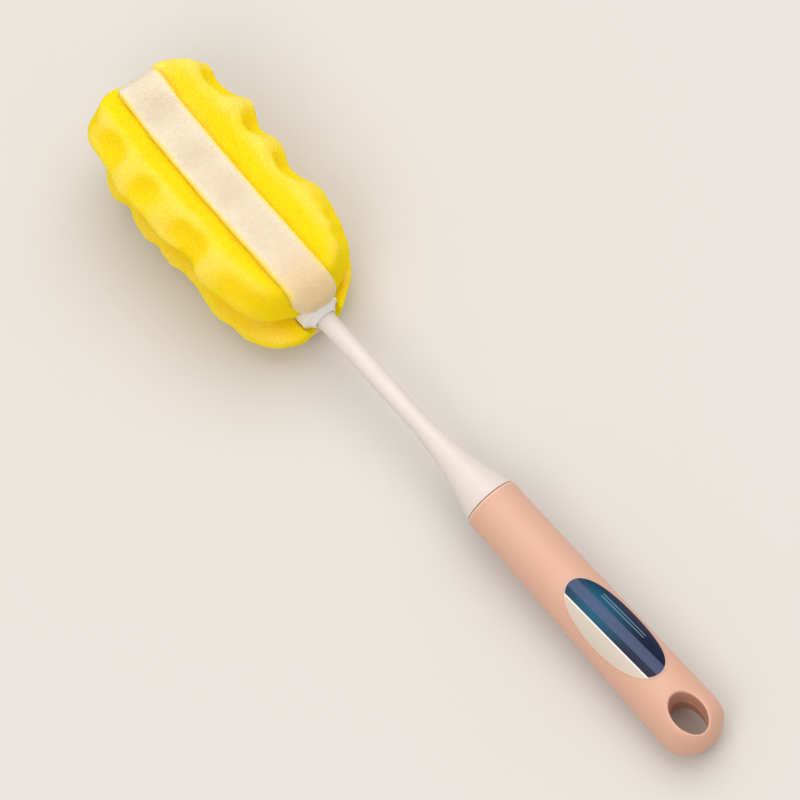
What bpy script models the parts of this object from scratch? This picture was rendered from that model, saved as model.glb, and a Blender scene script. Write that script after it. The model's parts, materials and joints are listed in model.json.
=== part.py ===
"""Sponge cup brush: three foam slabs pinched by a wire loop, a collar, a stem and a hollow grip.

The pieces are modelled in the brush's own frame: X runs along the brush from the tip of the
foam to the end of the grip, Y is sideways and Z is up through the hanging hole. An empty then
lays the whole brush down on its foam and the tail of its grip. Metres throughout.
"""

import math

import bmesh
import bpy
import numpy as np
from mathutils import Vector

# Gap left between pieces that touch on the real brush, and the break on a moulded edge.
FIT_GAP = 0.0003
MOULDED_CHAMFER = 0.0004

# Foam slabs: three sheets of one thickness, cut to a scalloped outline with a rounded base.
SLAB_THICKNESS = 0.0186
YELLOW_HALF_HEIGHT = 0.0320
WHITE_HALF_HEIGHT = 0.0300
YELLOW_LENGTH = 0.1185
WHITE_SETBACK = 0.0015
TIP_CORNER_RADIUS = 0.0095
YELLOW_BASE_CURVE = 0.0320
YELLOW_BASE_HALF_HEIGHT = 0.0060
WHITE_BASE_CURVE = 0.0150
WHITE_BASE_HALF_HEIGHT = 0.0150
SCALLOP_PITCH = 0.0215
SCALLOP_FIRST = 0.0185
SCALLOP_COUNT = 3
SCALLOP_DEPTH = 0.0030
EDGE_ROUNDING = 0.0035
FAN_ANGLE = math.radians(55.0)
FAN_TURN_LENGTH = 0.0060
THICKNESS_RECOVERY = 0.0200
LEAN_AT_TIP = 0.0036
SKEW_AT_TIP = 0.16
SKEW_AT_BASE = 0.06
FOAM_GAP = 0.0004
REST_DENT = 0.0016

# Wire hairpin round the middle of the slabs.
WIRE_RADIUS = 0.00125
LEG_OFFSET = 0.0060
LOOP_TIP_SETBACK = 0.0040
LEG_DEPTH_IN_COLLAR = 0.0042
NOTCH_RAMP = 0.0060

# Collar: a sleeve inside the foam, a flange against it and a boss for the stem.
COLLAR_OVERLAP = 0.0085
COLLAR_RADIUS = 0.0087
FLANGE_LENGTH = 0.0056
RIM_HEIGHT = 0.0003
RIM_LENGTH = 0.0009
BOSS_RADIUS = 0.0053
BOSS_LENGTH = 0.0026
SLEEVE_RADIUS = 0.0044
SLEEVE_LENGTH = 0.0075
SLEEVE_FLOOR = 0.0018
COUNTERBORE_DEPTH = 0.0016

# Stem: spigot, shaft, trumpet flare and the plug inside the grip.
SPIGOT_RADIUS = 0.0029
SHAFT_RADIUS = 0.00415
SHAFT_LENGTH = 0.0575
FLARE_LENGTH = 0.0430
FLARE_RADIUS = 0.01175
FLARE_POWER = 1.7
PLUG_RADIUS = 0.0096
PLUG_LENGTH = 0.0200
STEM_WALL = 0.0020
STEM_HOLLOW_IN_FLARE = 0.0250
SNAP_HEIGHT = 0.00045
SNAP_POSITION = 0.0120
SNAP_HALF_LENGTH = 0.0011

# Grip: hollow tapering handle with a domed end.
GRIP_LENGTH = 0.1325
LIP_RADIUS = 0.0121
WAIST_RADIUS = 0.01195
WAIST_POSITION = 0.0110
TAIL_RADIUS = 0.01405
TAPER_POWER = 1.15
DOME_LENGTH = 0.0127
DOME_POWER = 2.2
GRIP_WALL = 0.0021
BORE_STEP = 0.00105
BORE_END_ROUNDING = 0.0045
BORE_END_WALL = 0.0040

# Hanging hole: an oval through the grip, narrowest at its parting line.
HOLE_END_WALL = 0.0039
HOLE_HALF_LENGTH = 0.0093
HOLE_HALF_WIDTH = 0.0065
HOLE_DRAFT = 0.0004
HOLE_RIM_RADIUS = 0.0013

# Label: a thin oval wrapped over the top of the grip.
LABEL_LENGTH = 0.0530
LABEL_WIDTH = 0.0248
LABEL_THICKNESS = 0.0002
LABEL_POSITION = 0.0745
LABEL_ROLL = math.radians(-3.0)
LABEL_TURN = math.radians(2.5)

# Faces round each turned piece, and steps along the foam.
GRIP_SEGMENTS = 48
STEM_SEGMENTS = 36
COLLAR_SEGMENTS = 36
HOLE_SEGMENTS = 40
WIRE_HOLE_SEGMENTS = 16
TIP_STEPS = 3
MIDDLE_STEPS = 15
BASE_STEPS = 5
CONTACT_STEPS = 7

# Places along the brush that follow from the sizes above.
WHITE_LENGTH = YELLOW_LENGTH - WHITE_SETBACK
COLLAR_FACE = YELLOW_LENGTH - COLLAR_OVERLAP
SLEEVE_START = COLLAR_FACE - SLEEVE_LENGTH
FLANGE_END = COLLAR_FACE + FLANGE_LENGTH
BOSS_END = FLANGE_END + BOSS_LENGTH
SHAFT_START = BOSS_END - COUNTERBORE_DEPTH + FIT_GAP
SPIGOT_START = SLEEVE_START + SLEEVE_FLOOR + FIT_GAP
FLARE_START = SHAFT_START + SHAFT_LENGTH
GRIP_START = FLARE_START + FLARE_LENGTH
GRIP_END = GRIP_START + GRIP_LENGTH
HOLE_CENTRE = GRIP_END - HOLE_END_WALL - HOLE_HALF_LENGTH
BORE_END = HOLE_CENTRE - HOLE_HALF_LENGTH - HOLE_RIM_RADIUS - BORE_END_WALL
BEND_CENTRE = LOOP_TIP_SETBACK + LEG_OFFSET


def smoothstep(value):
    """Ease from 0 to 1 while value goes from 0 to 1."""
    t = min(max(value, 0.0), 1.0)
    return t * t * (3.0 - 2.0 * t)


def linear_colour(red, green, blue):
    """Turn an sRGB colour of 0 to 255 into Blender's linear colour."""
    def channel(value):
        share = value / 255.0
        if share <= 0.04045:
            return share / 12.92
        return ((share + 0.055) / 1.055) ** 2.4
    return (channel(red), channel(green), channel(blue), 1.0)


def make_material(name, colour, roughness, metallic=0.0):
    """Return a Principled material with one colour."""
    material = bpy.data.materials.new(name)
    material.use_nodes = True
    shader = material.node_tree.nodes["Principled BSDF"]
    shader.inputs["Base Color"].default_value = colour
    shader.inputs["Roughness"].default_value = roughness
    shader.inputs["Metallic"].default_value = metallic
    return material


def make_empty(name, parent=None, location=(0.0, 0.0, 0.0)):
    """Add an empty that carries other pieces."""
    empty = bpy.data.objects.new(name, None)
    empty.empty_display_size = 0.01
    empty.location = location
    empty.parent = parent
    bpy.context.scene.collection.objects.link(empty)
    return empty


def add_piece(name, bm, material, parent, origin_x):
    """Turn a bmesh in the brush's frame into an object whose origin is on the brush's axis.

    The parent empty lies on the axis too, so the location is the distance between them.
    """
    bmesh.ops.translate(bm, verts=bm.verts, vec=(-origin_x, 0.0, 0.0))
    mesh = bpy.data.meshes.new(name)
    bm.to_mesh(mesh)
    bm.free()
    mesh.materials.append(material)
    piece = bpy.data.objects.new(name, mesh)
    piece.parent = parent
    piece.location = (origin_x - parent.location.x, 0.0, 0.0)
    bpy.context.scene.collection.objects.link(piece)
    return piece


def shade(piece, angle_degrees):
    """Shade smooth, with sharp edges past the angle."""
    piece.data.shade_smooth()
    piece.data.set_sharp_from_angle(angle=math.radians(angle_degrees))


def point_outwards(bm):
    """Make every face of one closed body point out."""
    bmesh.ops.recalc_face_normals(bm, faces=bm.faces)
    if bm.calc_volume(signed=True) < 0.0:
        bmesh.ops.reverse_faces(bm, faces=bm.faces)


def turned_bmesh(outline, segments):
    """Spin an outline of (x, radius) points about the brush's axis.

    The outline either starts and ends on the axis or is closed by joining its two ends.
    """
    bm = bmesh.new()
    verts = [bm.verts.new((x, 0.0, radius)) for x, radius in outline]
    edges = [bm.edges.new(pair) for pair in zip(verts[:-1], verts[1:])]
    bmesh.ops.spin(bm, geom=verts + edges, cent=(0.0, 0.0, 0.0), axis=(1.0, 0.0, 0.0),
                   angle=2.0 * math.pi, steps=segments, use_merge=True, use_duplicate=False)
    bmesh.ops.remove_doubles(bm, verts=bm.verts, dist=0.000001)
    point_outwards(bm)
    return bm


def cylinder_cutter(name, parent, start_x, end_x, radius, y=0.0, segments=40):
    """Add a cylinder along X that only cuts other pieces."""
    bm = bmesh.new()
    bmesh.ops.create_cone(bm, cap_ends=True, segments=segments, radius1=radius, radius2=radius,
                          depth=end_x - start_x)
    bmesh.ops.rotate(bm, verts=bm.verts, cent=(0.0, 0.0, 0.0),
                     matrix=Vector((0.0, 0.0, 1.0)).rotation_difference(Vector((1.0, 0.0, 0.0)))
                     .to_matrix())
    bmesh.ops.translate(bm, verts=bm.verts, vec=((start_x + end_x) / 2.0, y, 0.0))
    mesh = bpy.data.meshes.new(name)
    bm.to_mesh(mesh)
    bm.free()
    return hide_cutter(name, mesh, parent)


def hide_cutter(name, mesh, parent):
    """Wrap a cutting mesh in an object that is drawn as wire and not rendered."""
    cutter = bpy.data.objects.new(name, mesh)
    cutter.parent = parent
    cutter.location = (-parent.location.x, 0.0, 0.0)
    cutter.hide_render = True
    cutter.display_type = "WIRE"
    bpy.context.scene.collection.objects.link(cutter)
    return cutter


def cut(piece, cutter):
    """Subtract the cutter from the piece."""
    modifier = piece.modifiers.new(cutter.name, "BOOLEAN")
    modifier.operation = "DIFFERENCE"
    modifier.solver = "EXACT"
    modifier.object = cutter


class FoamSection:
    """Cross-section of the fanned slabs, in the plane square to the brush.

    A slab is followed by the distance s along its middle sheet, from the pinched waist at 0 to
    its cut edge. The yellow slabs turn outwards by the fan angle and get their full thickness
    back away from the pinch. The white slab fills what they leave between them.
    """

    def __init__(self):
        stack_half_width = LEG_OFFSET - WIRE_RADIUS - FOAM_GAP
        pinched_half = (stack_half_width - FOAM_GAP) / 3.0
        self.s = np.linspace(0.0, YELLOW_HALF_HEIGHT * 1.1, 200)
        step = self.s[1] - self.s[0]
        self.angle = np.array([FAN_ANGLE * smoothstep(s / FAN_TURN_LENGTH) for s in self.s])
        growth = np.array([smoothstep(s / THICKNESS_RECOVERY) for s in self.s])
        self.half = pinched_half + (SLAB_THICKNESS / 2.0 - pinched_half) * growth
        waist = 2.0 * pinched_half + FOAM_GAP
        self.y = waist + np.cumsum(np.sin(self.angle)) * step
        self.z = np.cumsum(np.cos(self.angle)) * step
        self.y -= self.y[0] - waist
        self.z -= self.z[0]
        self.inner_y = self.y - np.cos(self.angle) * self.half
        self.inner_z = self.z + np.sin(self.angle) * self.half
        self.contact_rows = [THICKNESS_RECOVERY * (step / CONTACT_STEPS) ** 1.4
                             for step in range(CONTACT_STEPS + 1)]

    def yellow_rows(self, straight):
        """Rows from the waist to the straight height, on the upper petal of a yellow slab."""
        scale = min(1.0, straight / (self.contact_rows[-1] * 1.2))
        rows = [row * scale for row in self.contact_rows]
        return rows + [(rows[-1] + straight) / 2.0, straight]

    def white_rows(self, straight):
        """Rows of the white slab, level with the yellow slabs' rows where they touch."""
        levels = [float(np.interp(row, self.s, self.inner_z)) for row in self.contact_rows]
        scale = min(1.0, straight / (levels[-1] * 1.1))
        rows = [level * scale for level in levels]
        return rows + [(rows[-1] + straight) / 2.0, straight]

    def yellow_point(self, s, across):
        """Point at distance s (below the waist where negative); across is -1 inside, 1 outside."""
        distance = abs(s)
        angle = np.interp(distance, self.s, self.angle)
        half = np.interp(distance, self.s, self.half)
        y = np.interp(distance, self.s, self.y) + math.cos(angle) * half * across
        z = np.interp(distance, self.s, self.z) - math.sin(angle) * half * across
        return y, math.copysign(1.0, s) * z if s else 0.0

    def white_point(self, s, across):
        """Point on the white slab, whose middle sheet is flat."""
        room = np.interp(abs(s), self.inner_z, self.inner_y) - FOAM_GAP
        half = min(SLAB_THICKNESS / 2.0, room)
        return half * across, s


class SlabCut:
    """Scalloped outline that a slab is cut to, and how far the wire pulls its waist in."""

    def __init__(self, length, full_height, base_curve, base_half_height, notch_depth):
        self.length = length
        self.full_height = full_height
        self.base_curve = base_curve
        self.base_start = length - base_curve
        self.base_half_height = base_half_height
        self.notch_depth = notch_depth

    def half_height(self, x):
        """Half height of the outline at x along the slab."""
        height = self.full_height
        if x < TIP_CORNER_RADIUS:
            from_corner = (TIP_CORNER_RADIUS - x) / TIP_CORNER_RADIUS
            height -= TIP_CORNER_RADIUS * (1.0 - math.sqrt(max(1.0 - from_corner ** 2, 0.0)))
        if x > self.base_start:
            share = min((x - self.base_start) / self.base_curve, 1.0)
            drop = self.full_height - self.base_half_height
            height = self.base_half_height + drop * math.sqrt(1.0 - share ** 2)
        scallops_end = SCALLOP_FIRST + (SCALLOP_COUNT - 0.5) * SCALLOP_PITCH
        if SCALLOP_FIRST - SCALLOP_PITCH / 2.0 < x < scallops_end:
            wave = 0.5 + 0.5 * math.cos(2.0 * math.pi * (x - SCALLOP_FIRST) / SCALLOP_PITCH)
            height -= SCALLOP_DEPTH * wave ** 1.5
        return height

    def stations(self):
        """Places to cross-section the slab at, closer together round its tip and base."""
        middle_length = self.base_start - TIP_CORNER_RADIUS
        places = [TIP_CORNER_RADIUS * (1.0 - math.cos(math.pi / 2.0 * step / TIP_STEPS))
                  for step in range(TIP_STEPS)]
        places += [TIP_CORNER_RADIUS + middle_length * step / MIDDLE_STEPS
                   for step in range(MIDDLE_STEPS)]
        places += [self.base_start + self.base_curve * math.sin(math.pi / 2.0 * step / BASE_STEPS)
                   for step in range(BASE_STEPS + 1)]
        return places


def lean_head(x, y, z):
    """Lean the foam sideways towards its tip and skew its cut ends, as the real head does."""
    along = min(max(x / COLLAR_FACE, 0.0), 1.0)
    skew = SKEW_AT_TIP + (SKEW_AT_BASE - SKEW_AT_TIP) * along
    return x + skew * y, y + LEAN_AT_TIP * (1.0 - along) ** 3, z


def foam_slab(name, slab_cut, section_rows, section_point, side, material, parent):
    """Loft one slab from the outline it is cut to; side mirrors the section in Y."""
    edge_across = [0.92, 0.62, 0.0, -0.62, -0.92]

    def ring_points(place):
        height = slab_cut.half_height(place)
        straight = height - EDGE_ROUNDING
        upper_rows = section_rows(straight)
        rows = [-row for row in reversed(upper_rows[1:])] + upper_rows

        def edge_reach(across):
            return height - EDGE_ROUNDING * (1.0 - (1.0 - abs(across) ** 3.5) ** (1.0 / 3.5))

        positions = [(row, -1.0) for row in rows]
        positions += [(edge_reach(across), -across) for across in edge_across]
        positions += [(row, 1.0) for row in reversed(rows)]
        positions += [(-edge_reach(across), across) for across in edge_across]
        points = []
        for s, across in positions:
            pulled = 1.0 - smoothstep((abs(s) - WIRE_RADIUS - FIT_GAP) / NOTCH_RAMP)
            tip = slab_cut.notch_depth * pulled
            x = tip + place * (1.0 - tip / slab_cut.length)
            y, z = section_point(s, across)
            points.append(lean_head(x, y * side, z))
        return points

    bm = bmesh.new()
    rings = []
    for place in slab_cut.stations():
        rings.append([bm.verts.new(point) for point in ring_points(place)])
    count = len(rings[0])
    for ring, following in zip(rings[:-1], rings[1:]):
        for k in range(count):
            bm.faces.new((ring[k], ring[(k + 1) % count], following[(k + 1) % count], following[k]))
    half_edge = len(edge_across) // 2
    for ring in (rings[0], rings[-1]):
        looped = ring[-half_edge:] + ring[:-half_edge]
        side_count = (count - 2) // 2
        inner = looped[:side_count]
        top_middle = looped[side_count]
        outer = list(reversed(looped[side_count + 1:-1]))
        bottom_middle = looped[-1]
        bm.faces.new((bottom_middle, inner[0], outer[0]))
        for k in range(side_count - 1):
            bm.faces.new((inner[k], inner[k + 1], outer[k + 1], outer[k]))
        bm.faces.new((inner[-1], top_middle, outer[-1]))
    point_outwards(bm)
    piece = add_piece(name, bm, material, parent, parent.location.x)
    shade(piece, 50.0)
    return piece


def make_foam(head):
    """Make the two yellow slabs and the white one, with room for the collar and its sleeve."""
    section = FoamSection()
    yellow = make_material("yellow_foam", linear_colour(250, 226, 40), 0.95)
    white = make_material("white_foam", linear_colour(248, 238, 214), 0.95)
    yellow_cut = SlabCut(YELLOW_LENGTH, YELLOW_HALF_HEIGHT, YELLOW_BASE_CURVE,
                         YELLOW_BASE_HALF_HEIGHT, BEND_CENTRE - WIRE_RADIUS)
    white_cut = SlabCut(WHITE_LENGTH, WHITE_HALF_HEIGHT, WHITE_BASE_CURVE,
                        WHITE_BASE_HALF_HEIGHT, LOOP_TIP_SETBACK + WIRE_RADIUS + 2.0 * FOAM_GAP)
    slabs = [
        foam_slab("foam_left", yellow_cut, section.yellow_rows, section.yellow_point, -1.0, yellow,
                  head),
        foam_slab("foam_centre", white_cut, section.white_rows, section.white_point, 1.0, white,
                  head),
        foam_slab("foam_right", yellow_cut, section.yellow_rows, section.yellow_point, 1.0, yellow,
                  head),
    ]
    past_foam = max(YELLOW_LENGTH, WHITE_LENGTH) + SLAB_THICKNESS
    flange = cylinder_cutter("flange_pocket", head, COLLAR_FACE - FIT_GAP, past_foam,
                             COLLAR_RADIUS + RIM_HEIGHT + FIT_GAP)
    sleeve = cylinder_cutter("sleeve_pocket", head, SLEEVE_START - FIT_GAP, past_foam,
                             SLEEVE_RADIUS + FIT_GAP)
    for slab in slabs:
        cut(slab, flange)
        cut(slab, sleeve)
    return slabs


def make_clamp_loop(head):
    """Bend the wire hairpin from one leg's end in the collar round the tip to the other's."""
    leg_end = COLLAR_FACE + LEG_DEPTH_IN_COLLAR
    leg_steps = 22
    bend_steps = 12
    route = []
    for index in range(leg_steps):
        x = leg_end + (BEND_CENTRE - leg_end) * index / leg_steps
        route.append((x, -LEG_OFFSET))
    for index in range(bend_steps + 1):
        angle = math.pi * index / bend_steps
        route.append((BEND_CENTRE - LEG_OFFSET * math.sin(angle), -LEG_OFFSET * math.cos(angle)))
    for index in range(leg_steps):
        x = BEND_CENTRE + (leg_end - BEND_CENTRE) * (index + 1) / leg_steps
        route.append((x, LEG_OFFSET))
    curve = bpy.data.curves.new("clamp_loop", "CURVE")
    curve.dimensions = "3D"
    curve.bevel_depth = WIRE_RADIUS
    curve.bevel_resolution = 2
    curve.use_fill_caps = True
    spline = curve.splines.new("POLY")
    spline.points.add(len(route) - 1)
    for point, (x, y) in zip(spline.points, route):
        point.co = (*lean_head(x, y, 0.0), 1.0)
    curve.materials.append(make_material("steel_wire", linear_colour(196, 198, 200), 0.25, 1.0))
    loop = bpy.data.objects.new("clamp_loop", curve)
    loop.parent = head
    loop.location = (-head.location.x, 0.0, 0.0)
    bpy.context.scene.collection.objects.link(loop)
    return loop


def make_collar(head):
    """Turn the collar and drill its two blind holes for the wire."""
    inner_radius = SPIGOT_RADIUS + FIT_GAP
    counterbore_radius = SHAFT_RADIUS + FIT_GAP
    outline = [
        (SLEEVE_START, 0.0),
        (SLEEVE_START, SLEEVE_RADIUS - MOULDED_CHAMFER),
        (SLEEVE_START + MOULDED_CHAMFER, SLEEVE_RADIUS),
        (COLLAR_FACE, SLEEVE_RADIUS),
        (COLLAR_FACE, COLLAR_RADIUS - MOULDED_CHAMFER),
        (COLLAR_FACE + MOULDED_CHAMFER, COLLAR_RADIUS),
        (FLANGE_END - RIM_LENGTH, COLLAR_RADIUS),
        (FLANGE_END - RIM_LENGTH * 0.7, COLLAR_RADIUS + RIM_HEIGHT),
        (FLANGE_END - RIM_LENGTH * 0.2, COLLAR_RADIUS + RIM_HEIGHT),
        (FLANGE_END, COLLAR_RADIUS - RIM_HEIGHT),
    ]
    shoulder_steps = 5
    drop = COLLAR_RADIUS - RIM_HEIGHT - BOSS_RADIUS
    for index in range(1, shoulder_steps + 1):
        share = index / shoulder_steps
        outline.append((FLANGE_END + BOSS_LENGTH * share ** 1.6,
                        BOSS_RADIUS + drop * (1.0 - share)))
    outline += [
        (BOSS_END, counterbore_radius),
        (BOSS_END - COUNTERBORE_DEPTH, counterbore_radius),
        (BOSS_END - COUNTERBORE_DEPTH, inner_radius),
        (SLEEVE_START + SLEEVE_FLOOR, inner_radius),
        (SLEEVE_START + SLEEVE_FLOOR, 0.0),
    ]
    material = make_material("collar_plastic", linear_colour(226, 222, 220), 0.35)
    collar = add_piece("collar", turned_bmesh(outline, COLLAR_SEGMENTS), material, head, BOSS_END)
    shade(collar, 35.0)
    hole_start = COLLAR_FACE - LEG_DEPTH_IN_COLLAR / 2.0
    hole_end = COLLAR_FACE + LEG_DEPTH_IN_COLLAR + LEG_OFFSET * SKEW_AT_BASE + FIT_GAP
    for side, label in ((-1.0, "left"), (1.0, "right")):
        drill = cylinder_cutter("wire_hole_" + label, head, hole_start, hole_end,
                                WIRE_RADIUS + FIT_GAP, y=LEG_OFFSET * side,
                                segments=WIRE_HOLE_SEGMENTS)
        cut(collar, drill)
    return collar


def flare_radius(x):
    """Outer radius of the stem's trumpet flare at x."""
    share = min(max((x - FLARE_START) / FLARE_LENGTH, 0.0), 1.0)
    return SHAFT_RADIUS + (FLARE_RADIUS - SHAFT_RADIUS) * share ** FLARE_POWER


def make_stem(brush):
    """Turn the stem, hollow from its plug up into the flare."""
    flare_end = GRIP_START - FIT_GAP
    outline = [
        (SPIGOT_START, 0.0),
        (SPIGOT_START, SPIGOT_RADIUS - MOULDED_CHAMFER),
        (SPIGOT_START + MOULDED_CHAMFER, SPIGOT_RADIUS),
        (SHAFT_START, SPIGOT_RADIUS),
        (SHAFT_START, SHAFT_RADIUS - MOULDED_CHAMFER / 2.0),
        (SHAFT_START + MOULDED_CHAMFER / 2.0, SHAFT_RADIUS),
    ]
    flare_steps = 13
    for index in range(flare_steps + 1):
        x = FLARE_START + (flare_end - MOULDED_CHAMFER - FLARE_START) * index / flare_steps
        outline.append((x, flare_radius(x)))
    outline.append((flare_end, FLARE_RADIUS - MOULDED_CHAMFER))
    outline.append((flare_end, PLUG_RADIUS))
    snap = GRIP_START + SNAP_POSITION
    outline += [
        (snap - SNAP_HALF_LENGTH, PLUG_RADIUS),
        (snap, PLUG_RADIUS + SNAP_HEIGHT),
        (snap + SNAP_HALF_LENGTH, PLUG_RADIUS),
    ]
    plug_end = GRIP_START + PLUG_LENGTH
    hollow_radius = PLUG_RADIUS - STEM_WALL
    outline += [
        (plug_end - MOULDED_CHAMFER, PLUG_RADIUS),
        (plug_end, PLUG_RADIUS - MOULDED_CHAMFER),
        (plug_end, hollow_radius),
        (GRIP_START, hollow_radius),
    ]
    hollow_steps = 6
    for index in range(1, hollow_steps + 1):
        x = GRIP_START - STEM_HOLLOW_IN_FLARE * index / hollow_steps
        outline.append((x, min(flare_radius(x) - STEM_WALL, hollow_radius)))
    point_x, point_radius = outline[-1]
    outline.append((point_x - point_radius * 0.6, 0.0))
    material = make_material("stem_plastic", linear_colour(238, 232, 226), 0.22)
    stem = add_piece("stem", turned_bmesh(outline, STEM_SEGMENTS), material, brush, GRIP_START)
    shade(stem, 35.0)
    return stem


def grip_radius(x):
    """Outer radius of the grip at x, from its lip to the point of its dome."""
    from_front = x - GRIP_START
    dome_start = GRIP_LENGTH - DOME_LENGTH
    if from_front < WAIST_POSITION:
        share = 1.0 - from_front / WAIST_POSITION
        return WAIST_RADIUS + (LIP_RADIUS - WAIST_RADIUS) * share ** 2
    if from_front < dome_start:
        share = (from_front - WAIST_POSITION) / (dome_start - WAIST_POSITION)
        return WAIST_RADIUS + (TAIL_RADIUS - WAIST_RADIUS) * share ** TAPER_POWER
    share = min((from_front - dome_start) / DOME_LENGTH, 1.0)
    return TAIL_RADIUS * (1.0 - share ** DOME_POWER) ** (1.0 / DOME_POWER)


def hanging_hole_cutter(brush):
    """Loft the oval cutter; its rim flares out along the grip's curved surface."""
    throat_half_length = HOLE_HALF_LENGTH - HOLE_DRAFT
    throat_half_width = HOLE_HALF_WIDTH - HOLE_DRAFT
    rim_angles = [0.0, 25.0, 50.0, 70.0]
    clear_height = TAIL_RADIUS + 2.0 * HOLE_RIM_RADIUS
    clear_spread = HOLE_RIM_RADIUS * 0.92
    clear_lift = HOLE_RIM_RADIUS * 0.31

    def throat():
        turns = [2.0 * math.pi * index / HOLE_SEGMENTS for index in range(HOLE_SEGMENTS)]
        return [(HOLE_CENTRE + throat_half_length * math.cos(turn),
                 throat_half_width * math.sin(turn), 0.0) for turn in turns]

    def rim_ring(angle_degrees, sign, spread=0.0, lift=0.0):
        angle = math.radians(angle_degrees)
        offset = HOLE_RIM_RADIUS * (1.0 - math.cos(angle)) + spread
        rise = lift if lift else HOLE_RIM_RADIUS * (math.sin(angle) - 1.0)
        points = []
        for index in range(HOLE_SEGMENTS):
            turn = 2.0 * math.pi * index / HOLE_SEGMENTS
            outward = Vector((math.cos(turn) / HOLE_HALF_LENGTH, math.sin(turn) / HOLE_HALF_WIDTH))
            outward.normalize()
            x = HOLE_CENTRE + HOLE_HALF_LENGTH * math.cos(turn) + outward.x * offset
            y = HOLE_HALF_WIDTH * math.sin(turn) + outward.y * offset
            surface = math.sqrt(max(grip_radius(x) ** 2 - y ** 2, 0.0))
            points.append((x, y, sign * (surface + rise)))
        return points

    def clear_ring(sign):
        return rim_ring(rim_angles[-1], sign, clear_spread, clear_lift)

    def cap(sign):
        return [(x, y, sign * clear_height) for x, y, z in clear_ring(sign)]

    levels = [cap(-1.0), clear_ring(-1.0)]
    levels += [rim_ring(angle, -1.0) for angle in reversed(rim_angles)]
    levels += [throat()]
    levels += [rim_ring(angle, 1.0) for angle in rim_angles]
    levels += [clear_ring(1.0), cap(1.0)]
    bm = bmesh.new()
    rings = [[bm.verts.new(point) for point in level] for level in levels]
    for lower, upper in zip(rings[:-1], rings[1:]):
        for k in range(HOLE_SEGMENTS):
            following = (k + 1) % HOLE_SEGMENTS
            bm.faces.new((lower[k], lower[following], upper[following], upper[k]))
    bm.faces.new(list(reversed(rings[0])))
    bm.faces.new(rings[-1])
    point_outwards(bm)
    mesh = bpy.data.meshes.new("hanging_hole_cutter")
    bm.to_mesh(mesh)
    bm.free()
    return hide_cutter("hanging_hole_cutter", mesh, brush)


def make_grip(brush):
    """Turn the hollow grip and cut the hanging hole through its solid tail."""
    bore_radius = PLUG_RADIUS + FIT_GAP
    dome_steps = 9
    outline = []
    for index in range(dome_steps):
        turn = math.pi / 2.0 * (1.0 - index / dome_steps)
        x = GRIP_END - DOME_LENGTH + DOME_LENGTH * math.sin(turn) ** (2.0 / DOME_POWER)
        outline.append((x, TAIL_RADIUS * abs(math.cos(turn)) ** (2.0 / DOME_POWER)))
    outline[0] = (GRIP_END, 0.0)
    body_steps = 12
    dome_start = GRIP_END - DOME_LENGTH
    for index in range(body_steps + 1):
        x = dome_start + (GRIP_START + MOULDED_CHAMFER - dome_start) * index / body_steps
        outline.append((x, grip_radius(x)))
    outline.append((GRIP_START, LIP_RADIUS - MOULDED_CHAMFER))
    snap = GRIP_START + SNAP_POSITION
    groove = SNAP_HALF_LENGTH + FIT_GAP
    outline += [
        (GRIP_START, bore_radius),
        (snap - groove, bore_radius),
        (snap, bore_radius + SNAP_HEIGHT + FIT_GAP / 2.0),
        (snap + groove, bore_radius),
    ]
    plug_room = GRIP_START + PLUG_LENGTH + 2.0 * FIT_GAP
    rounding_start = BORE_END - BORE_END_ROUNDING
    end_radius = grip_radius(rounding_start) - GRIP_WALL - BORE_STEP
    outline += [
        (plug_room, bore_radius),
        (plug_room, bore_radius - BORE_STEP),
    ]
    rounding_steps = 3
    for index in range(rounding_steps):
        turn = math.pi / 2.0 * index / rounding_steps
        outline.append((rounding_start + BORE_END_ROUNDING * math.sin(turn),
                        end_radius * math.cos(turn)))
    outline.append((BORE_END, 0.0))
    material = make_material("grip_plastic", linear_colour(240, 190, 165), 0.5)
    grip = add_piece("grip", turned_bmesh(outline, GRIP_SEGMENTS), material, brush, GRIP_START)
    shade(grip, 35.0)
    cut(grip, hanging_hole_cutter(brush))
    return grip


def make_label(brush):
    """Wrap a thin oval over the grip, with the fit gap under it."""
    centre_x = GRIP_START + LABEL_POSITION
    rings = [0.0, 0.45, 0.8, 1.0]
    segments = 36

    def on_grip(share, turn, lift):
        along = LABEL_LENGTH / 2.0 * share * math.cos(turn)
        around = LABEL_WIDTH / 2.0 * share * math.sin(turn)
        x = centre_x + along * math.cos(LABEL_TURN) - around * math.sin(LABEL_TURN)
        arc = along * math.sin(LABEL_TURN) + around * math.cos(LABEL_TURN)
        radius = grip_radius(x) + lift
        angle = arc / grip_radius(centre_x) + LABEL_ROLL
        return (x, radius * math.sin(angle), radius * math.cos(angle))

    bm = bmesh.new()
    sheets = []
    for lift in (FIT_GAP, FIT_GAP + LABEL_THICKNESS):
        middle = bm.verts.new(on_grip(0.0, 0.0, lift))
        circles = []
        for share in rings[1:]:
            circles.append([bm.verts.new(on_grip(share, 2.0 * math.pi * k / segments, lift))
                            for k in range(segments)])
        for k in range(segments):
            bm.faces.new((middle, circles[0][k], circles[0][(k + 1) % segments]))
        for inner, outer in zip(circles[:-1], circles[1:]):
            for k in range(segments):
                following = (k + 1) % segments
                bm.faces.new((inner[k], outer[k], outer[following], inner[following]))
        sheets.append(circles)
    lower, upper = sheets[0][-1], sheets[1][-1]
    for k in range(segments):
        following = (k + 1) % segments
        bm.faces.new((lower[k], lower[following], upper[following], upper[k]))
    point_outwards(bm)
    material = make_material("label_film", linear_colour(24, 66, 112), 0.3)
    label = add_piece("label", bm, material, brush, centre_x)
    shade(label, 35.0)
    return label


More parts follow.
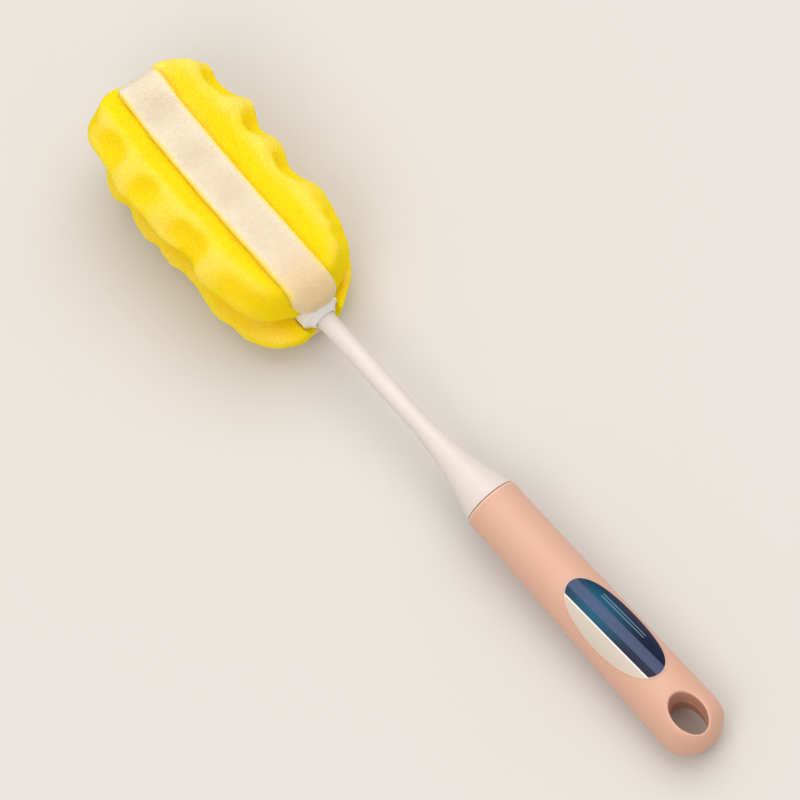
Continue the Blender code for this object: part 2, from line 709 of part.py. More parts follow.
def brush_points(piece):
    """Vertices of an evaluated piece in the brush's frame, before the brush is laid down."""
    graph = bpy.context.evaluated_depsgraph_get()
    evaluated = piece.evaluated_get(graph)
    mesh = evaluated.to_mesh()
    matrix = np.array(evaluated.matrix_world)
    points = np.array([vertex.co for vertex in mesh.vertices])
    evaluated.to_mesh_clear()
    return points @ matrix[:3, :3].T + matrix[:3, 3]


def heights(points, tilt):
    """Height of brush points once the brush is tilted about Y."""
    return points[:, 2] * math.cos(tilt) - points[:, 0] * math.sin(tilt)


def lay_down(brush, slabs, grip, pieces):
    """Tilt the brush until it lies on its foam and its grip, and stand it on Z = 0.

    The foam gives by the rest dent where it touches the floor.
    """
    bpy.context.view_layer.update()
    foam_points = np.vstack([brush_points(slab) for slab in slabs])
    grip_points = brush_points(grip)
    low = 0.0
    high = math.radians(12.0)
    for _ in range(50):
        tilt = (low + high) / 2.0
        foam_level = heights(foam_points, tilt).min() + REST_DENT
        if foam_level < heights(grip_points, tilt).min():
            low = tilt
        else:
            high = tilt
    floor = heights(grip_points, tilt).min()
    for slab in slabs:
        for vertex in slab.data.vertices:
            x = vertex.co.x + slab.location.x + slab.parent.location.x
            level = vertex.co.z * math.cos(tilt) - x * math.sin(tilt)
            if level < floor:
                vertex.co.z = (floor + x * math.sin(tilt)) / math.cos(tilt)
        slab.data.update()
    bpy.context.view_layer.update()
    every_point = np.vstack([brush_points(piece) for piece in pieces])
    along = every_point[:, 0] * math.cos(tilt) + every_point[:, 2] * math.sin(tilt)
    centre_x = (along.min() + along.max()) / 2.0
    centre_y = (every_point[:, 1].min() + every_point[:, 1].max()) / 2.0
    brush.rotation_euler = (0.0, tilt, 0.0)
    brush.location = (-centre_x, -centre_y, -floor)
    bpy.context.view_layer.update()
    print("tilt in degrees", round(math.degrees(tilt), 3))
    print("brush origin", [round(value, 6) for value in brush.location])


def main():
    for leftover in list(bpy.data.objects):
        bpy.data.objects.remove(leftover)
    brush = make_empty("brush")
    head = make_empty("head", parent=brush, location=(BOSS_END, 0.0, 0.0))
    slabs = make_foam(head)
    loop = make_clamp_loop(head)
    collar = make_collar(head)
    stem = make_stem(brush)
    grip = make_grip(brush)
    label = make_label(brush)
    lay_down(brush, slabs, grip, slabs + [loop, collar, stem, grip, label])


main()
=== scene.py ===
import json
import math

import bmesh
import bpy
import numpy as np
from mathutils import Matrix, Vector


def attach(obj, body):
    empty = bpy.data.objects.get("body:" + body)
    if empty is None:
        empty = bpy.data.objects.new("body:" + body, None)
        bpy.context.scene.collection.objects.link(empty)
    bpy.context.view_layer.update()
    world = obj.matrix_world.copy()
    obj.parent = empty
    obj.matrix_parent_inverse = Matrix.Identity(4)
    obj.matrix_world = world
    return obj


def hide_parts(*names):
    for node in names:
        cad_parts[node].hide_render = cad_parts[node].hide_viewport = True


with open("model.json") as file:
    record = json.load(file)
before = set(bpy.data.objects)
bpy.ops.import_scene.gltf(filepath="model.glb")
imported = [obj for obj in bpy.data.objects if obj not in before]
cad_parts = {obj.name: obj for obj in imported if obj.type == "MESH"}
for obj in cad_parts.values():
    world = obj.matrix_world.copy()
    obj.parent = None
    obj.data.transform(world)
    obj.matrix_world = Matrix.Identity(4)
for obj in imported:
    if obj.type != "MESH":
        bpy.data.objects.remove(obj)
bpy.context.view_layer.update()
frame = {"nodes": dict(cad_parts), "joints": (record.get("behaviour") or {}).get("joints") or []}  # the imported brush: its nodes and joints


# Brush frame: X runs from the tip of the foam to the end of the grip, Z up through the hole.
# The pull-off joint gives the axis, and the stem, which is turned, lies centred on it.
spigotStart = 0.1046  # the stem's front end, measured from the slabs' tip plane
gripStart = 0.2186  # the seam between the stem's flare and the grip
turnedSides = 96  # round the collar and the stem
alongDir = -Vector(frame["joints"][0]["axis"]).normalized()
sideDir = Vector((0, 1, 0))
upDir = alongDir.cross(sideDir)


def nodeReach(node, direction):
    spread = [vertex.co.dot(direction) for vertex in frame["nodes"][node].data.vertices]
    return min(spread), max(spread)


brushZero = alongDir * (nodeReach("stem", alongDir)[0] - spigotStart)
brushZero += sideDir * sum(nodeReach("stem", sideDir)) / 2
brushZero += upDir * sum(nodeReach("stem", upDir)) / 2
toWorld = Matrix((alongDir, sideDir, upDir)).transposed().to_4x4()
toWorld.translation = brushZero
layAlong = Matrix.Rotation(math.pi / 2, 4, "Y")  # a piece modelled upright on Z lies along X
print("brush zero", [round(value, 5) for value in brushZero])


# Small helpers for the modelling below.
def deselectAll():
    bpy.ops.object.select_all(action="DESELECT")


def editMode():
    bpy.ops.object.mode_set(mode="EDIT")


def objectMode():
    bpy.ops.object.mode_set(mode="OBJECT")


def selectOnly(piece):
    deselectAll()
    piece.select_set(True)
    bpy.context.view_layer.objects.active = piece


def nameIt(name):
    piece = bpy.context.object
    piece.name = name
    piece.data.name = name
    return piece


def applyModifier(piece, kind, **settings):
    selectOnly(piece)
    modifier = piece.modifiers.new(kind.lower(), kind)
    for name, value in settings.items():
        setattr(modifier, name, value)
    bpy.ops.object.modifier_apply(modifier=modifier.name)


def smooth(piece, degrees):
    selectOnly(piece)
    bpy.ops.object.shade_smooth_by_angle(angle=math.radians(degrees))


def putInPlace(piece, turn=layAlong):
    # the place goes into the mesh, so the object itself stays at the origin
    piece.data.transform(toWorld @ turn @ piece.matrix_world)
    piece.matrix_world = Matrix.Identity(4)


def selectEverything():
    bpy.ops.mesh.select_mode(type="VERT")
    bpy.ops.mesh.select_all(action="SELECT")


def turnPiece(name, outline, sides):
    # outline holds (place, radius) pairs, and a radius of 0 closes an end on the axis
    deselectAll()
    place, radius = outline[0]
    bpy.ops.mesh.primitive_circle_add(vertices=sides, radius=radius, fill_type="NGON",
                                      location=(0, 0, place))
    piece = nameIt(name)
    bpy.ops.object.transform_apply(location=True, rotation=False, scale=False)
    editMode()
    selectEverything()
    for nextPlace, nextRadius in outline[1:]:
        bpy.ops.mesh.extrude_region_move(
            TRANSFORM_OT_translate={"value": (0, 0, nextPlace - place)})
        if nextRadius == 0:
            bpy.ops.mesh.merge(type="CENTER")
            break
        scale = nextRadius / radius
        bpy.ops.transform.resize(value=(scale, scale, 1), center_override=(0, 0, nextPlace))
        place, radius = nextPlace, nextRadius
    selectEverything()
    bpy.ops.mesh.normals_make_consistent(inside=False)
    objectMode()
    return piece


def cutAway(piece, cutter):
    selectOnly(piece)
    modifier = piece.modifiers.new("cut", "BOOLEAN")
    modifier.operation = "DIFFERENCE"
    modifier.solver = "EXACT"
    modifier.object = cutter
    bpy.ops.object.modifier_apply(modifier="cut")


def pointsOf(piece):
    points = np.empty(len(piece.data.vertices) * 3)
    piece.data.vertices.foreach_get("co", points)
    return points.reshape(-1, 3)


def movePoints(piece, points):
    piece.data.vertices.foreach_set("co", points.astype(np.float32).ravel())
    piece.data.update()


def ease(value, low, high):
    share = np.clip((value - low) / (high - low), 0, 1)
    return share * share * (3 - 2 * share)


# Finishes: a Signal is a socket that can be added, subtracted and multiplied like a number.
class Signal:
    def __init__(self, finish, socket):
        self.finish = finish
        self.socket = socket

    def work(self, operation, first, second):
        return self.finish.node("ShaderNodeMath", {"operation": operation}, {0: first, 1: second})

    def __add__(self, other):
        return self.work("ADD", self, other)

    def __radd__(self, other):
        return self.work("ADD", other, self)

    def __sub__(self, other):
        return self.work("SUBTRACT", self, other)

    def __rsub__(self, other):
        return self.work("SUBTRACT", other, self)

    def __mul__(self, other):
        return self.work("MULTIPLY", self, other)

    def __rmul__(self, other):
        return self.work("MULTIPLY", other, self)


class Finish:
    def __init__(self, name):
        self.material = bpy.data.materials.new(name)
        self.material.use_nodes = True
        self.tree = self.material.node_tree
        self.shader = self.tree.nodes["Principled BSDF"]
        self.spot = self.node("ShaderNodeTexCoord", {}, {}, "Object")

    def give(self, socket, value):
        if isinstance(value, Signal):
            self.tree.links.new(value.socket, socket)
        else:
            socket.default_value = value

    def node(self, kind, settings, values, output=0):
        made = self.tree.nodes.new(kind)
        for name, setting in settings.items():
            setattr(made, name, setting)
        for name, value in values.items():
            self.give(made.inputs[name], value)
        return Signal(self, made.outputs[output])

    def feed(self, values):
        for name, value in values.items():
            self.give(self.shader.inputs[name], value)

    def noise(self, scale, detail=2, roughness=0.5):
        return self.node("ShaderNodeTexNoise", {}, {
            "Vector": self.spot, "Scale": scale, "Detail": detail, "Roughness": roughness})

    def cells(self, scale):
        return self.node("ShaderNodeTexVoronoi", {}, {"Vector": self.spot, "Scale": scale})

    def ease(self, value, low, high):
        # 0 at low and 1 at high, which may be the smaller of the two
        return self.node("ShaderNodeMapRange", {"interpolation_type": "SMOOTHSTEP"}, {
            0: value, 1: low, 2: high})

    def attribute(self, name):
        return self.node("ShaderNodeAttribute", {"attribute_name": name}, {}, "Fac")

    def mix(self, share, first, second):
        return self.node("ShaderNodeMix", {"data_type": "RGBA"}, {0: share, 6: first, 7: second}, 2)

    def bump(self, height, strength, distance, under=None):
        values = {"Height": height, "Strength": strength, "Distance": distance}
        if under:
            values["Normal"] = under
        return self.node("ShaderNodeBump", {}, values)

    def distanceAlong(self, direction):
        # how far a point lies from the brush's zero in one of its directions, in metres
        reach = self.node("ShaderNodeVectorMath", {"operation": "DOT_PRODUCT"}, {
            0: self.spot, 1: tuple(direction)}, "Value")
        return reach - brushZero.dot(direction)

    def vary(self, signal, limits):
        # limits are the least value and how much more it can be
        return limits[0] + signal * limits[1]

    def magnitude(self, value):
        return self.node("ShaderNodeMath", {"operation": "ABSOLUTE"}, {0: value})


def colour(red, green, blue):
    def linear(value):
        share = value / 255
        if share <= 0.04045:
            return share / 12.92
        return ((share + 0.055) / 1.055) ** 2.4
    return linear(red), linear(green), linear(blue), 1


# A range gives where something starts to show and where it shows fully, in metres for a distance.
foamLook = {
    "fuzzFiner": 1.7, "patchScale": 38, "patchShift": 0.0008,
    "wallRange": (0.15, 0.6), "wallShare": 0.8, "fuzzShare": 0.3, "wallOff": 0.15,
    "wallInHollow": 0.1,
    "ridgeSheenRange": (0.0, 0.0012), "hollowShadeRange": (0.0003, -0.0015), "baseShadeBounceRange": (0.088, 0.116),
    "flankRange": (0.16, 0.75), "flankEnds": (0.1130, 0.1080), "bounceTinge": 0.9,
    "poreBump": 0.7, "poreDepth": 0.0009, "roughness": (0.85, 0.15),
}


def foamFinish(name, own):
    # open pores with paler walls between them; painted sheen makes the ridges pale and painted shade
    # makes the hollows saturated
    look = {**foamLook, **own}
    finish = Finish(name)
    pores = finish.cells(look["poreScale"])
    fuzz = finish.noise(look["poreScale"] * look["fuzzFiner"], 2)
    patches = finish.noise(look["patchScale"], 3)
    uneven = finish.attribute("proud") + (patches - 0.5) * look["patchShift"]
    # painted light: the ridges take a pale painted sheen and the hollows a deep painted shade
    ridge = finish.ease(uneven, *look["ridgeSheenRange"])
    hollow = finish.ease(uneven, *look["hollowShadeRange"])
    body = finish.mix(ridge, look["middle"], look["ridgeSheen"])
    body = finish.mix(hollow, body, look["hollowShade"])
    wall = finish.ease(pores, *look["wallRange"])
    wall = wall * look["wallShare"] + fuzz * look["fuzzShare"] - look["wallOff"]
    # the paler pore walls show mostly on the ridges, as part of the painted sheen
    wall = wall * (ridge * (1 - look["wallInHollow"]) + look["wallInHollow"])
    skin = finish.mix(wall, body, look["wall"])
    # painted shade and bounce light: deeper orange on the yellow and yellower on the white towards the
    # base
    along = finish.distanceAlong(alongDir)
    nearBase = finish.ease(along, *look["baseShadeBounceRange"])
    skin = finish.mix(nearBase * look["baseShadeBounceShare"], skin, look["baseShadeBounce"])
    if "yellowBounce" in look:  # painted yellow bounce light on the white flanks that the yellow leans on
        flank = finish.ease(finish.attribute("flank"), *look["flankRange"])
        bounceTinge = flank * finish.ease(along, *look["flankEnds"])
        skin = finish.mix(bounceTinge * look["bounceTinge"], skin, look["yellowBounce"])
    height = pores * look["poreBump"] + fuzz * (1 - look["poreBump"])
    finish.feed({
        "Base Color": skin,
        "Roughness": finish.vary(fuzz, look["roughness"]),
        "Normal": finish.bump(height, look["bump"], look["poreDepth"]),
        "Subsurface Weight": look["subsurface"],
        "Subsurface Radius": look["bleed"],
        "Subsurface Scale": look["bleedReach"],
        "Specular IOR Level": 0,
    })
    return finish.material


# painted shade deep in the hollows, painted sheen pale on the ridges, wall between two pores, painted
# shade and bounce light warm at the base
yellowFoam = foamFinish("yellowFoam", {
    "poreScale": 1250, "hollowShade": colour(255, 217, 0), "middle": colour(255, 214, 8),
    "ridgeSheen": colour(255, 211, 72), "wall": colour(255, 220, 112), "bump": 0.65,
    "subsurface": 0.8, "bleed": (0.45, 0.9, 0.1), "bleedReach": 0.0080,
    "baseShadeBounce": colour(255, 207, 0), "baseShadeBounceShare": 0.3})
whiteFoam = foamFinish("whiteFoam", {
    "poreScale": 1350, "hollowShade": colour(219, 203, 175), "middle": colour(221, 205, 180),
    "ridgeSheen": colour(225, 210, 186), "wall": colour(234, 222, 202), "bump": 0.6,
    "subsurface": 0.6, "bleed": (1.0, 0.85, 0.65), "bleedReach": 0.0050,
    "baseShadeBounce": colour(228, 195, 134), "baseShadeBounceShare": 0.62, "yellowBounce": colour(250, 220, 80)})


collarLook = {
    "dull": colour(238, 231, 226), "bright": colour(247, 242, 238), "cloudScale": 160,
    "roughness": (0.24, 0.14), "rippleScale": 420, "ripple": (0.05, 0.0004),
}


def collarFinish():
    # translucent milky moulding
    finish = Finish("collarPlastic")
    cloud = finish.noise(collarLook["cloudScale"], 3)
    finish.feed({
        "Base Color": finish.mix(cloud, collarLook["dull"], collarLook["bright"]),
        "Roughness": finish.vary(cloud, collarLook["roughness"]),
        "Normal": finish.bump(finish.noise(collarLook["rippleScale"], 2), *collarLook["ripple"]),
        "Transmission Weight": 0.15,
        "IOR": 1.46,
        "Subsurface Weight": 0.7,
        "Subsurface Radius": (1.0, 0.85, 0.75),
        "Subsurface Scale": 0.003,
        "Coat Weight": 0.2,
    })
    return finish.material


stemLook = {
    "dull": colour(212, 202, 195), "bright": colour(220, 211, 206), "flowScale": 55,
    "speck": colour(168, 150, 138), "speckScale": 230, "speckRange": (0.045, 0.02), "speckShare": 0.25,
    "roughness": (0.4, 0.1), "sink": (0.05, 0.001),
}


def stemFinish():
    # satin moulding with the faintest sink and flow marks along it
    finish = Finish("stemPlastic")
    flow = finish.noise(stemLook["flowScale"], 3)
    body = finish.mix(flow, stemLook["dull"], stemLook["bright"])
    specks = finish.ease(finish.cells(stemLook["speckScale"]), *stemLook["speckRange"])
    finish.feed({
        "Base Color": finish.mix(specks * stemLook["speckShare"], body, stemLook["speck"]),
        "Roughness": finish.vary(flow, stemLook["roughness"]),
        "Normal": finish.bump(flow, *stemLook["sink"]),
        "Coat Weight": 0.06,
        "Coat Roughness": 0.12,
        "Subsurface Weight": 0.25,
        "Subsurface Radius": (1.0, 0.85, 0.75),
        "Subsurface Scale": 0.003,
    })
    return finish.material


gripLook = {
    "dull": colour(210, 162, 140), "bright": colour(215, 170, 149), "patchScale": 32,
    "grainScale": 1900, "grain": (0.16, 0.0003), "roughness": (0.4, 0.14),
    "parting": colour(192, 130, 106), "partingShare": 0.35, "partingRange": (0.00012, 0.00004),
    "partingRidge": (0.35, 0.0003),
    "lip": colour(234, 192, 168), "lipShare": 0.8, "lipRange": (0.0013, 0.0006),
    "speck": colour(140, 92, 74), "speckScale": 170, "speckRange": (0.04, 0.02), "speckShare": 0.3,
}


def gripFinish():
    # fine spark-eroded texture, a painted highlight on the lip, and a parting line down both sides of
    # the moulding
    finish = Finish("gripPlastic")
    look = gripLook
    body = finish.mix(finish.noise(look["patchScale"], 3), look["dull"], look["bright"])
    line = finish.ease(finish.magnitude(finish.distanceAlong(upDir)), *look["partingRange"])
    body = finish.mix(line * look["partingShare"], body, look["parting"])
    # painted highlight: the rounded front lip is drawn paler, as if catching light
    lip = finish.ease(finish.distanceAlong(alongDir) - gripStart, *look["lipRange"])
    body = finish.mix(lip * look["lipShare"], body, look["lip"])
    specks = finish.ease(finish.cells(look["speckScale"]), *look["speckRange"])
    body = finish.mix(specks * look["speckShare"], body, look["speck"])
    grain = finish.noise(look["grainScale"], 3, 0.6)
    finish.feed({
        "Base Color": body,
        "Roughness": finish.vary(grain, look["roughness"]),
        "Normal": finish.bump(line, *look["partingRidge"], finish.bump(grain, *look["grain"])),
        "Subsurface Weight": 0.35,
        "Subsurface Radius": (1.0, 0.4, 0.25),
        "Subsurface Scale": 0.005,
    })
    return finish.material


# Places on the label run from -1 to 1 along the oval and from -1 to 1 across it.
labelLook = {
    "navy": colour(6, 15, 50), "teal": colour(0, 78, 106),
    "glowPlace": -0.4, "glowReach": 0.9, "glowAcross": (0.95, 0.35),
    "band": colour(70, 82, 116), "bandPlace": 0.06, "bandHalf": (0.19, 0.18), "bandShare": 0.7,
    "rule": colour(176, 196, 206), "rulePlace": 0.52, "ruleApart": 0.06, "ruleHalf": (0.014, 0.008),
    "ruleMiddle": -0.05, "ruleLength": (0.46, 0.45), "ruleShare": 0.6,
    "crescent": colour(200, 188, 174), "crescentEdge": -0.40, "crescentSoft": (0.008, -0.008),
    "border": colour(236, 228, 216), "borderHalf": (0.03, 0.018),
    "rim": colour(232, 196, 176), "rimRange": (0.955, 0.975), "rimShare": 0.75,
    "roughness": (0.34, 0.08), "grainScale": 900, "rippleScale": 240, "ripple": (0.03, 0.0003),
}


def labelFinish():
    # printed film: a blue field, a slate band, thin rules and a cream crescent
    finish = Finish("labelFilm")
    look = labelLook
    chart = finish.node("ShaderNodeTexCoord", {}, {}, "UV")
    along = finish.node("ShaderNodeSeparateXYZ", {}, {0: chart}, "X") * 2 - 1
    around = finish.node("ShaderNodeSeparateXYZ", {}, {0: chart}, "Y") * 2 - 1

    def reachFrom(value, place):
        return finish.magnitude(value - place)

    glow = finish.ease(reachFrom(along, look["glowPlace"]), look["glowReach"], 0)
    glow = glow * finish.ease(around, *look["glowAcross"])
    field = finish.mix(glow, look["navy"], look["teal"])
    band = finish.ease(reachFrom(around, look["bandPlace"]), *look["bandHalf"])
    field = finish.mix(band * look["bandShare"], field, look["band"])
    rules = reachFrom(reachFrom(around, look["rulePlace"]), look["ruleApart"])
    rules = finish.ease(rules, *look["ruleHalf"])
    rules = rules * finish.ease(reachFrom(along, look["ruleMiddle"]), *look["ruleLength"])
    field = finish.mix(rules * look["ruleShare"], field, look["rule"])
    crescent = finish.ease(around - look["crescentEdge"], *look["crescentSoft"])
    field = finish.mix(crescent, field, look["crescent"])
    border = finish.ease(reachFrom(around, look["crescentEdge"]), *look["borderHalf"])
    field = finish.mix(border, field, look["border"])
    rim = finish.ease(along * along + around * around, *look["rimRange"])
    field = finish.mix(rim * look["rimShare"], field, look["rim"])
    finish.feed({
        "Base Color": field,
        "Roughness": finish.vary(finish.noise(look["grainScale"], 2), look["roughness"]),
        "Normal": finish.bump(finish.noise(look["rippleScale"], 2), *look["ripple"]),
        "Specular IOR Level": 0.2,
        "Coat Weight": 0.05,
        "Coat Roughness": 0.18,
    })
    return finish.material


wireLook = {
    "dull": colour(178, 180, 183), "bright": colour(214, 216, 218), "drawn": (60, 3200, 3200),
    "roughness": (0.2, 0.16), "scratch": (0.08, 0.0001),
}


def wireFinish():
    # drawn steel: fine lines along the wire
    finish = Finish("drawnSteel")
    stretched = finish.node("ShaderNodeMapping", {}, {0: finish.spot, "Scale": wireLook["drawn"]})
    lines = finish.node("ShaderNodeTexNoise", {}, {"Vector": stretched, "Scale": 1, "Detail": 2})
    finish.feed({
        "Base Color": finish.mix(lines, wireLook["dull"], wireLook["bright"]),
        "Metallic": 1,
        "Roughness": finish.vary(lines, wireLook["roughness"]),
        "Normal": finish.bump(lines, *wireLook["scratch"]),
    })
    return finish.material


collarPlastic = collarFinish()
stemPlastic = stemFinish()
gripPlastic = gripFinish()
labelFilm = labelFinish()
drawnSteel = wireFinish()
print("finishes ready")


# Foam: three sheets die-cut to a scalloped outline, pinched along the middle and fanned out.
# Each cut edge is (place, half height) in millimetres, 1 for the upper petal and -1 for the lower.
# A dimple is (place, offset across the edge, depth, radius), pressed into an upper cut edge.
# Fan angles go by side and petal. An upper tip reaches past the outline by (inner face, outer face).
foam = {
    "thickness": 0.0186,
    "yellowHalfHeight": 0.0320,
    "whiteHalfHeight": 0.0300,
    "yellowLength": 0.1185,
    "whiteLength": 0.1160,
    "tipCorner": 0.0095,
    "yellowBase": (0.0320, 0.0060),  # how long the base curve is, and the half height it ends at
    "whiteBase": (0.0150, 0.0150),
    "stationStep": 0.0016,  # between the outline's points along the straight part
    "yellowBevel": 0.0042,
    "whiteBevel": 0.0014,
    "bevelSteps": 5,
    "bevelOver": math.radians(50),
    "smoothing": 4000,  # smoothing rounds for each metre of bevel
    "voxel": 0.00058,
    "fanAngles": {(-1, 1): math.radians(47), (-1, -1): math.radians(55),
                  (1, 1): math.radians(56), (1, -1): math.radians(55)},
    "fanTurn": 0.0060,  # how far from the middle the fan has turned fully
    "recovery": 0.0200,  # how far from the middle the sheet is back at its full thickness
    "sectionReach": 1.25,  # of the half height
    "sectionSteps": 400,
    "creaseSwell": (0.62, 0.0190, 0.0062),  # share, place and width of the fuller inner face
    "pinchedHalf": 0.00131667,
    "gap": 0.0001,
    "softness": 0.0003,  # of the white slab where the yellow ones start to press it
    "freeBase": (0.0900, 0.1050),  # along the white slab, where the yellow ones let go of it
    "endCorners": (0.0052, 0.0034),  # of the white slab's base, left and right
    "endFade": (0.0070, 0.0140),  # how far from the middle the last two start and act fully
    "edgeGrid": (-0.006, 0.126, 0.0005),  # start, end and step of the smoothed cut edge
    "edgeSpan": 11,  # grid steps that the cut edge is smoothed over
    "crown": 0.0009,  # how far the middle of a cut edge stands out
    "crownPower": 5,  # the crown and the dimples fade towards the middle as powers of the share
    "dimplePower": 3,
    "innerShare": 0.45,  # of the scallops on a yellow slab's inner face
    "innerRange": (-0.9, 0.2),
    "deepRange": (0.5, 0.75),  # shares of the height at which an edge counts as cut far back
    "tipFade": (0.04, 0.02),  # a tip's reach dies out this far along, and this near the middle
    "yellowNotch": 0.00875,
    "whiteNotch": 0.00605,
    "notchReach": 0.0060,
    "wireRadius": 0.00125,
    "wireRoom": 0.0003,
    "leanAtTip": 0.0036,
    "leanPower": 3,
    "skewAtTip": 0.16,
    "skewAtBase": 0.10,
    "collarFace": 0.1100,
    "lumps": (0.012, 0.0008),  # size and height
    "grain": (0.0016, 0.00016),
    "cutterEnd": 0.1400,
    "cutterSides": 64,
    "pocket": [(0.1022, 0.0046), (0.1096, 0.0046), (0.1096, 0.0092), (0.1130, 0.0093)],  # for the collar
    "clearance": (0.1130, 0.0085, 0.0070),  # start, radius and lift of the room over the collar
    "floorGap": 0.0001,  # under the dent where the foam lies
    "evening": 0.7,  # share of its neighbours' mean that a point takes in each smoothing step
    "proudSteps": 60,
    "softSteps": 14,
    "topLightFade": 0.0006,  # painted light from above: faces that look up count as standing proud by up to half of this, so they come out paler
    "topLightLevel": 0.5,
    "creaseShade": (0.0013, 0.0090, 0.0035),  # painted shade in the crease: depth, where it starts from the middle, and how far
    "edges": {
        "foam_left": {
            1: [(0, 20.5), (1.2, 23.5), (3, 26.6), (6.4, 29.6), (8.8, 31.4), (11.2, 32.2),
                (13.6, 32.4), (18.4, 32.9), (24, 33.9), (29, 36), (34, 37.2), (39.4, 35.6),
                (46, 34.6), (53, 35.4), (58.3, 35.6), (63.8, 33.2), (68.6, 29.4), (72.8, 29.4),
                (76.5, 32.7), (80.6, 34.5), (85.9, 34.1), (93, 31.3), (98.8, 28.7), (103.6, 25.2),
                (107, 20.5), (109.5, 15), (111.7, 9.5), (113, 4.5), (118.5, 3)],
            -1: [(0, 14), (3, 18), (6, 20.5), (9, 22.3), (12, 24.2), (14, 26.2), (16, 28.4),
                 (18, 30), (20.5, 31), (23, 31.8), (25.5, 31.8), (28, 29.8), (30.5, 28.5),
                 (33, 28.7), (36, 30.5), (39, 31.4), (42, 31.6), (45, 32.4), (48, 31.2),
                 (51, 29.6), (54, 30.8), (60, 31.2), (63, 29.9), (66, 28.8), (72, 28.7),
                 (75, 28.7), (78, 29.7), (84, 30.6), (87, 31.2), (90, 30.9), (93, 29.6),
                 (96, 28.8), (102, 28.5), (105, 27.4), (107.5, 26.1), (110, 24.6), (112, 23),
                 (114, 21.4), (116, 19), (118.5, 13.5)]},
        "foam_right": {
            1: [(0, 18), (1.2, 20.2), (3, 23.4), (5.5, 28), (8, 29.8), (10.5, 29.8),
                (13, 29), (15.5, 29.3), (18, 30.1), (20.5, 30.9), (23, 31.6), (25.5, 33.1),
                (28, 34.9), (30.5, 35.1), (33, 34), (36, 32.5), (39, 31.3), (42, 31.4),
                (45, 32.9), (48, 33.2), (51, 33), (54, 32.2), (57, 30.9), (60, 30),
                (63, 30), (66, 30.3), (69, 31), (72, 32.5), (75, 33), (78, 33), (81, 32),
                (84, 31.7), (87, 30.3), (90, 29.8), (93, 29.2), (96, 27.1), (99, 26.4),
                (102, 25), (105, 22.1), (107.5, 18.8), (110, 14.4), (112, 9.5), (113.2, 4.5),
                (118.5, 3)],
            -1: [(0, 21), (2, 25), (6, 29), (12, 31.5), (18, 31.2), (24, 29.2), (28, 28.6),
                 (33, 29.6), (41, 31.8), (48, 30.4), (53, 29), (58, 30), (66, 31.6), (72, 30),
                 (77, 28.8), (83, 30.2), (90, 30.5), (97, 27.8), (103, 24), (108, 19.3),
                 (112, 14.3), (115.5, 10.3), (118.5, 6)]},
        "foam_centre": {
            1: [(0, 24.5), (1, 27), (3, 29), (7, 30.2), (10, 30), (14, 29.3), (18, 28.6),
                (23, 29.3), (29, 30), (35, 29.7), (41, 29), (47, 29.7), (53, 30), (58, 29.8),
                (63.5, 29.3), (70, 29.9), (98, 30), (104, 29.4), (108, 28), (111, 26),
                (114, 22.5), (117, 16)],
            -1: [(0, 21), (3, 27.5), (9, 30), (14, 28.4), (18.5, 27), (23, 28.4), (29, 30),
                 (35, 28.6), (40, 27), (45, 28.6), (51, 30), (57, 28.6), (61.5, 27.2), (66, 28.6),
                 (73, 30), (98, 30), (104, 29.4), (108, 28), (111, 26), (114, 22.5),
                 (117, 16)]},
    },
    "dimples": {
        "foam_left": [(0.0193, -0.0015, 0.0033, 0.0064), (0.0400, -0.0015, 0.0038, 0.0066),
                      (0.0622, -0.0008, 0.0036, 0.0066), (0.0925, -0.0010, 0.0015, 0.0090)],
        "foam_right": [(0.0182, 0.0012, 0.0033, 0.0064), (0.0400, 0.0014, 0.0037, 0.0064),
                       (0.0612, 0.0014, 0.0034, 0.0064)],
        "foam_centre": [(0.0180, 0.0, 0.0008, 0.0070), (0.0390, 0.0, 0.0008, 0.0072),
                        (0.0610, 0.0, 0.0008, 0.0072), (0.0830, 0.0, 0.0005, 0.0072)],
    },
    "tipReach": {"foam_left": (0.0032, 0.0008), "foam_centre": (0.0014, 0.0014),
                 "foam_right": (0.0042, 0.0026)},
}


def slabHalfHeight(x, size):
    length, fullHeight, (curve, base) = size
    corner = foam["tipCorner"]
    fromCorner = np.clip((corner - x) / corner, 0, 1)
    height = fullHeight - corner * (1 - np.sqrt(1 - fromCorner ** 2))
    share = np.clip((x - (length - curve)) / curve, 0, 1)
    return np.where(share > 0, base + (fullHeight - base) * np.sqrt(1 - share ** 2), height)


def fanSection(fanAngle):
    # the middle sheet of an upper petal, followed from the pinched waist to its cut edge
    s = np.linspace(0, foam["yellowHalfHeight"] * foam["sectionReach"], foam["sectionSteps"])
    step = s[1] - s[0]
    angle = fanAngle * ease(s, 0, foam["fanTurn"])
    full = foam["thickness"] / 2
    half = foam["pinchedHalf"] + (full - foam["pinchedHalf"]) * ease(s, 0, foam["recovery"])
    swell, swellPlace, swellWidth = foam["creaseSwell"]
    inner = half * (1 + swell * np.exp(-((s - swellPlace) / swellWidth) ** 2))
    waist = 2 * foam["pinchedHalf"] + foam["gap"]
    y = waist + np.concatenate([[0], np.cumsum(np.sin(angle[1:])) * step])
    z = np.concatenate([[0], np.cumsum(np.cos(angle[1:])) * step])
    return {"s": s, "angle": angle, "half": half, "inner": inner, "y": y, "z": z,
            "innerY": y - np.cos(angle) * inner, "innerZ": z + np.sin(angle) * inner}


sections = {place: fanSection(fanAngle) for place, fanAngle in foam["fanAngles"].items()}


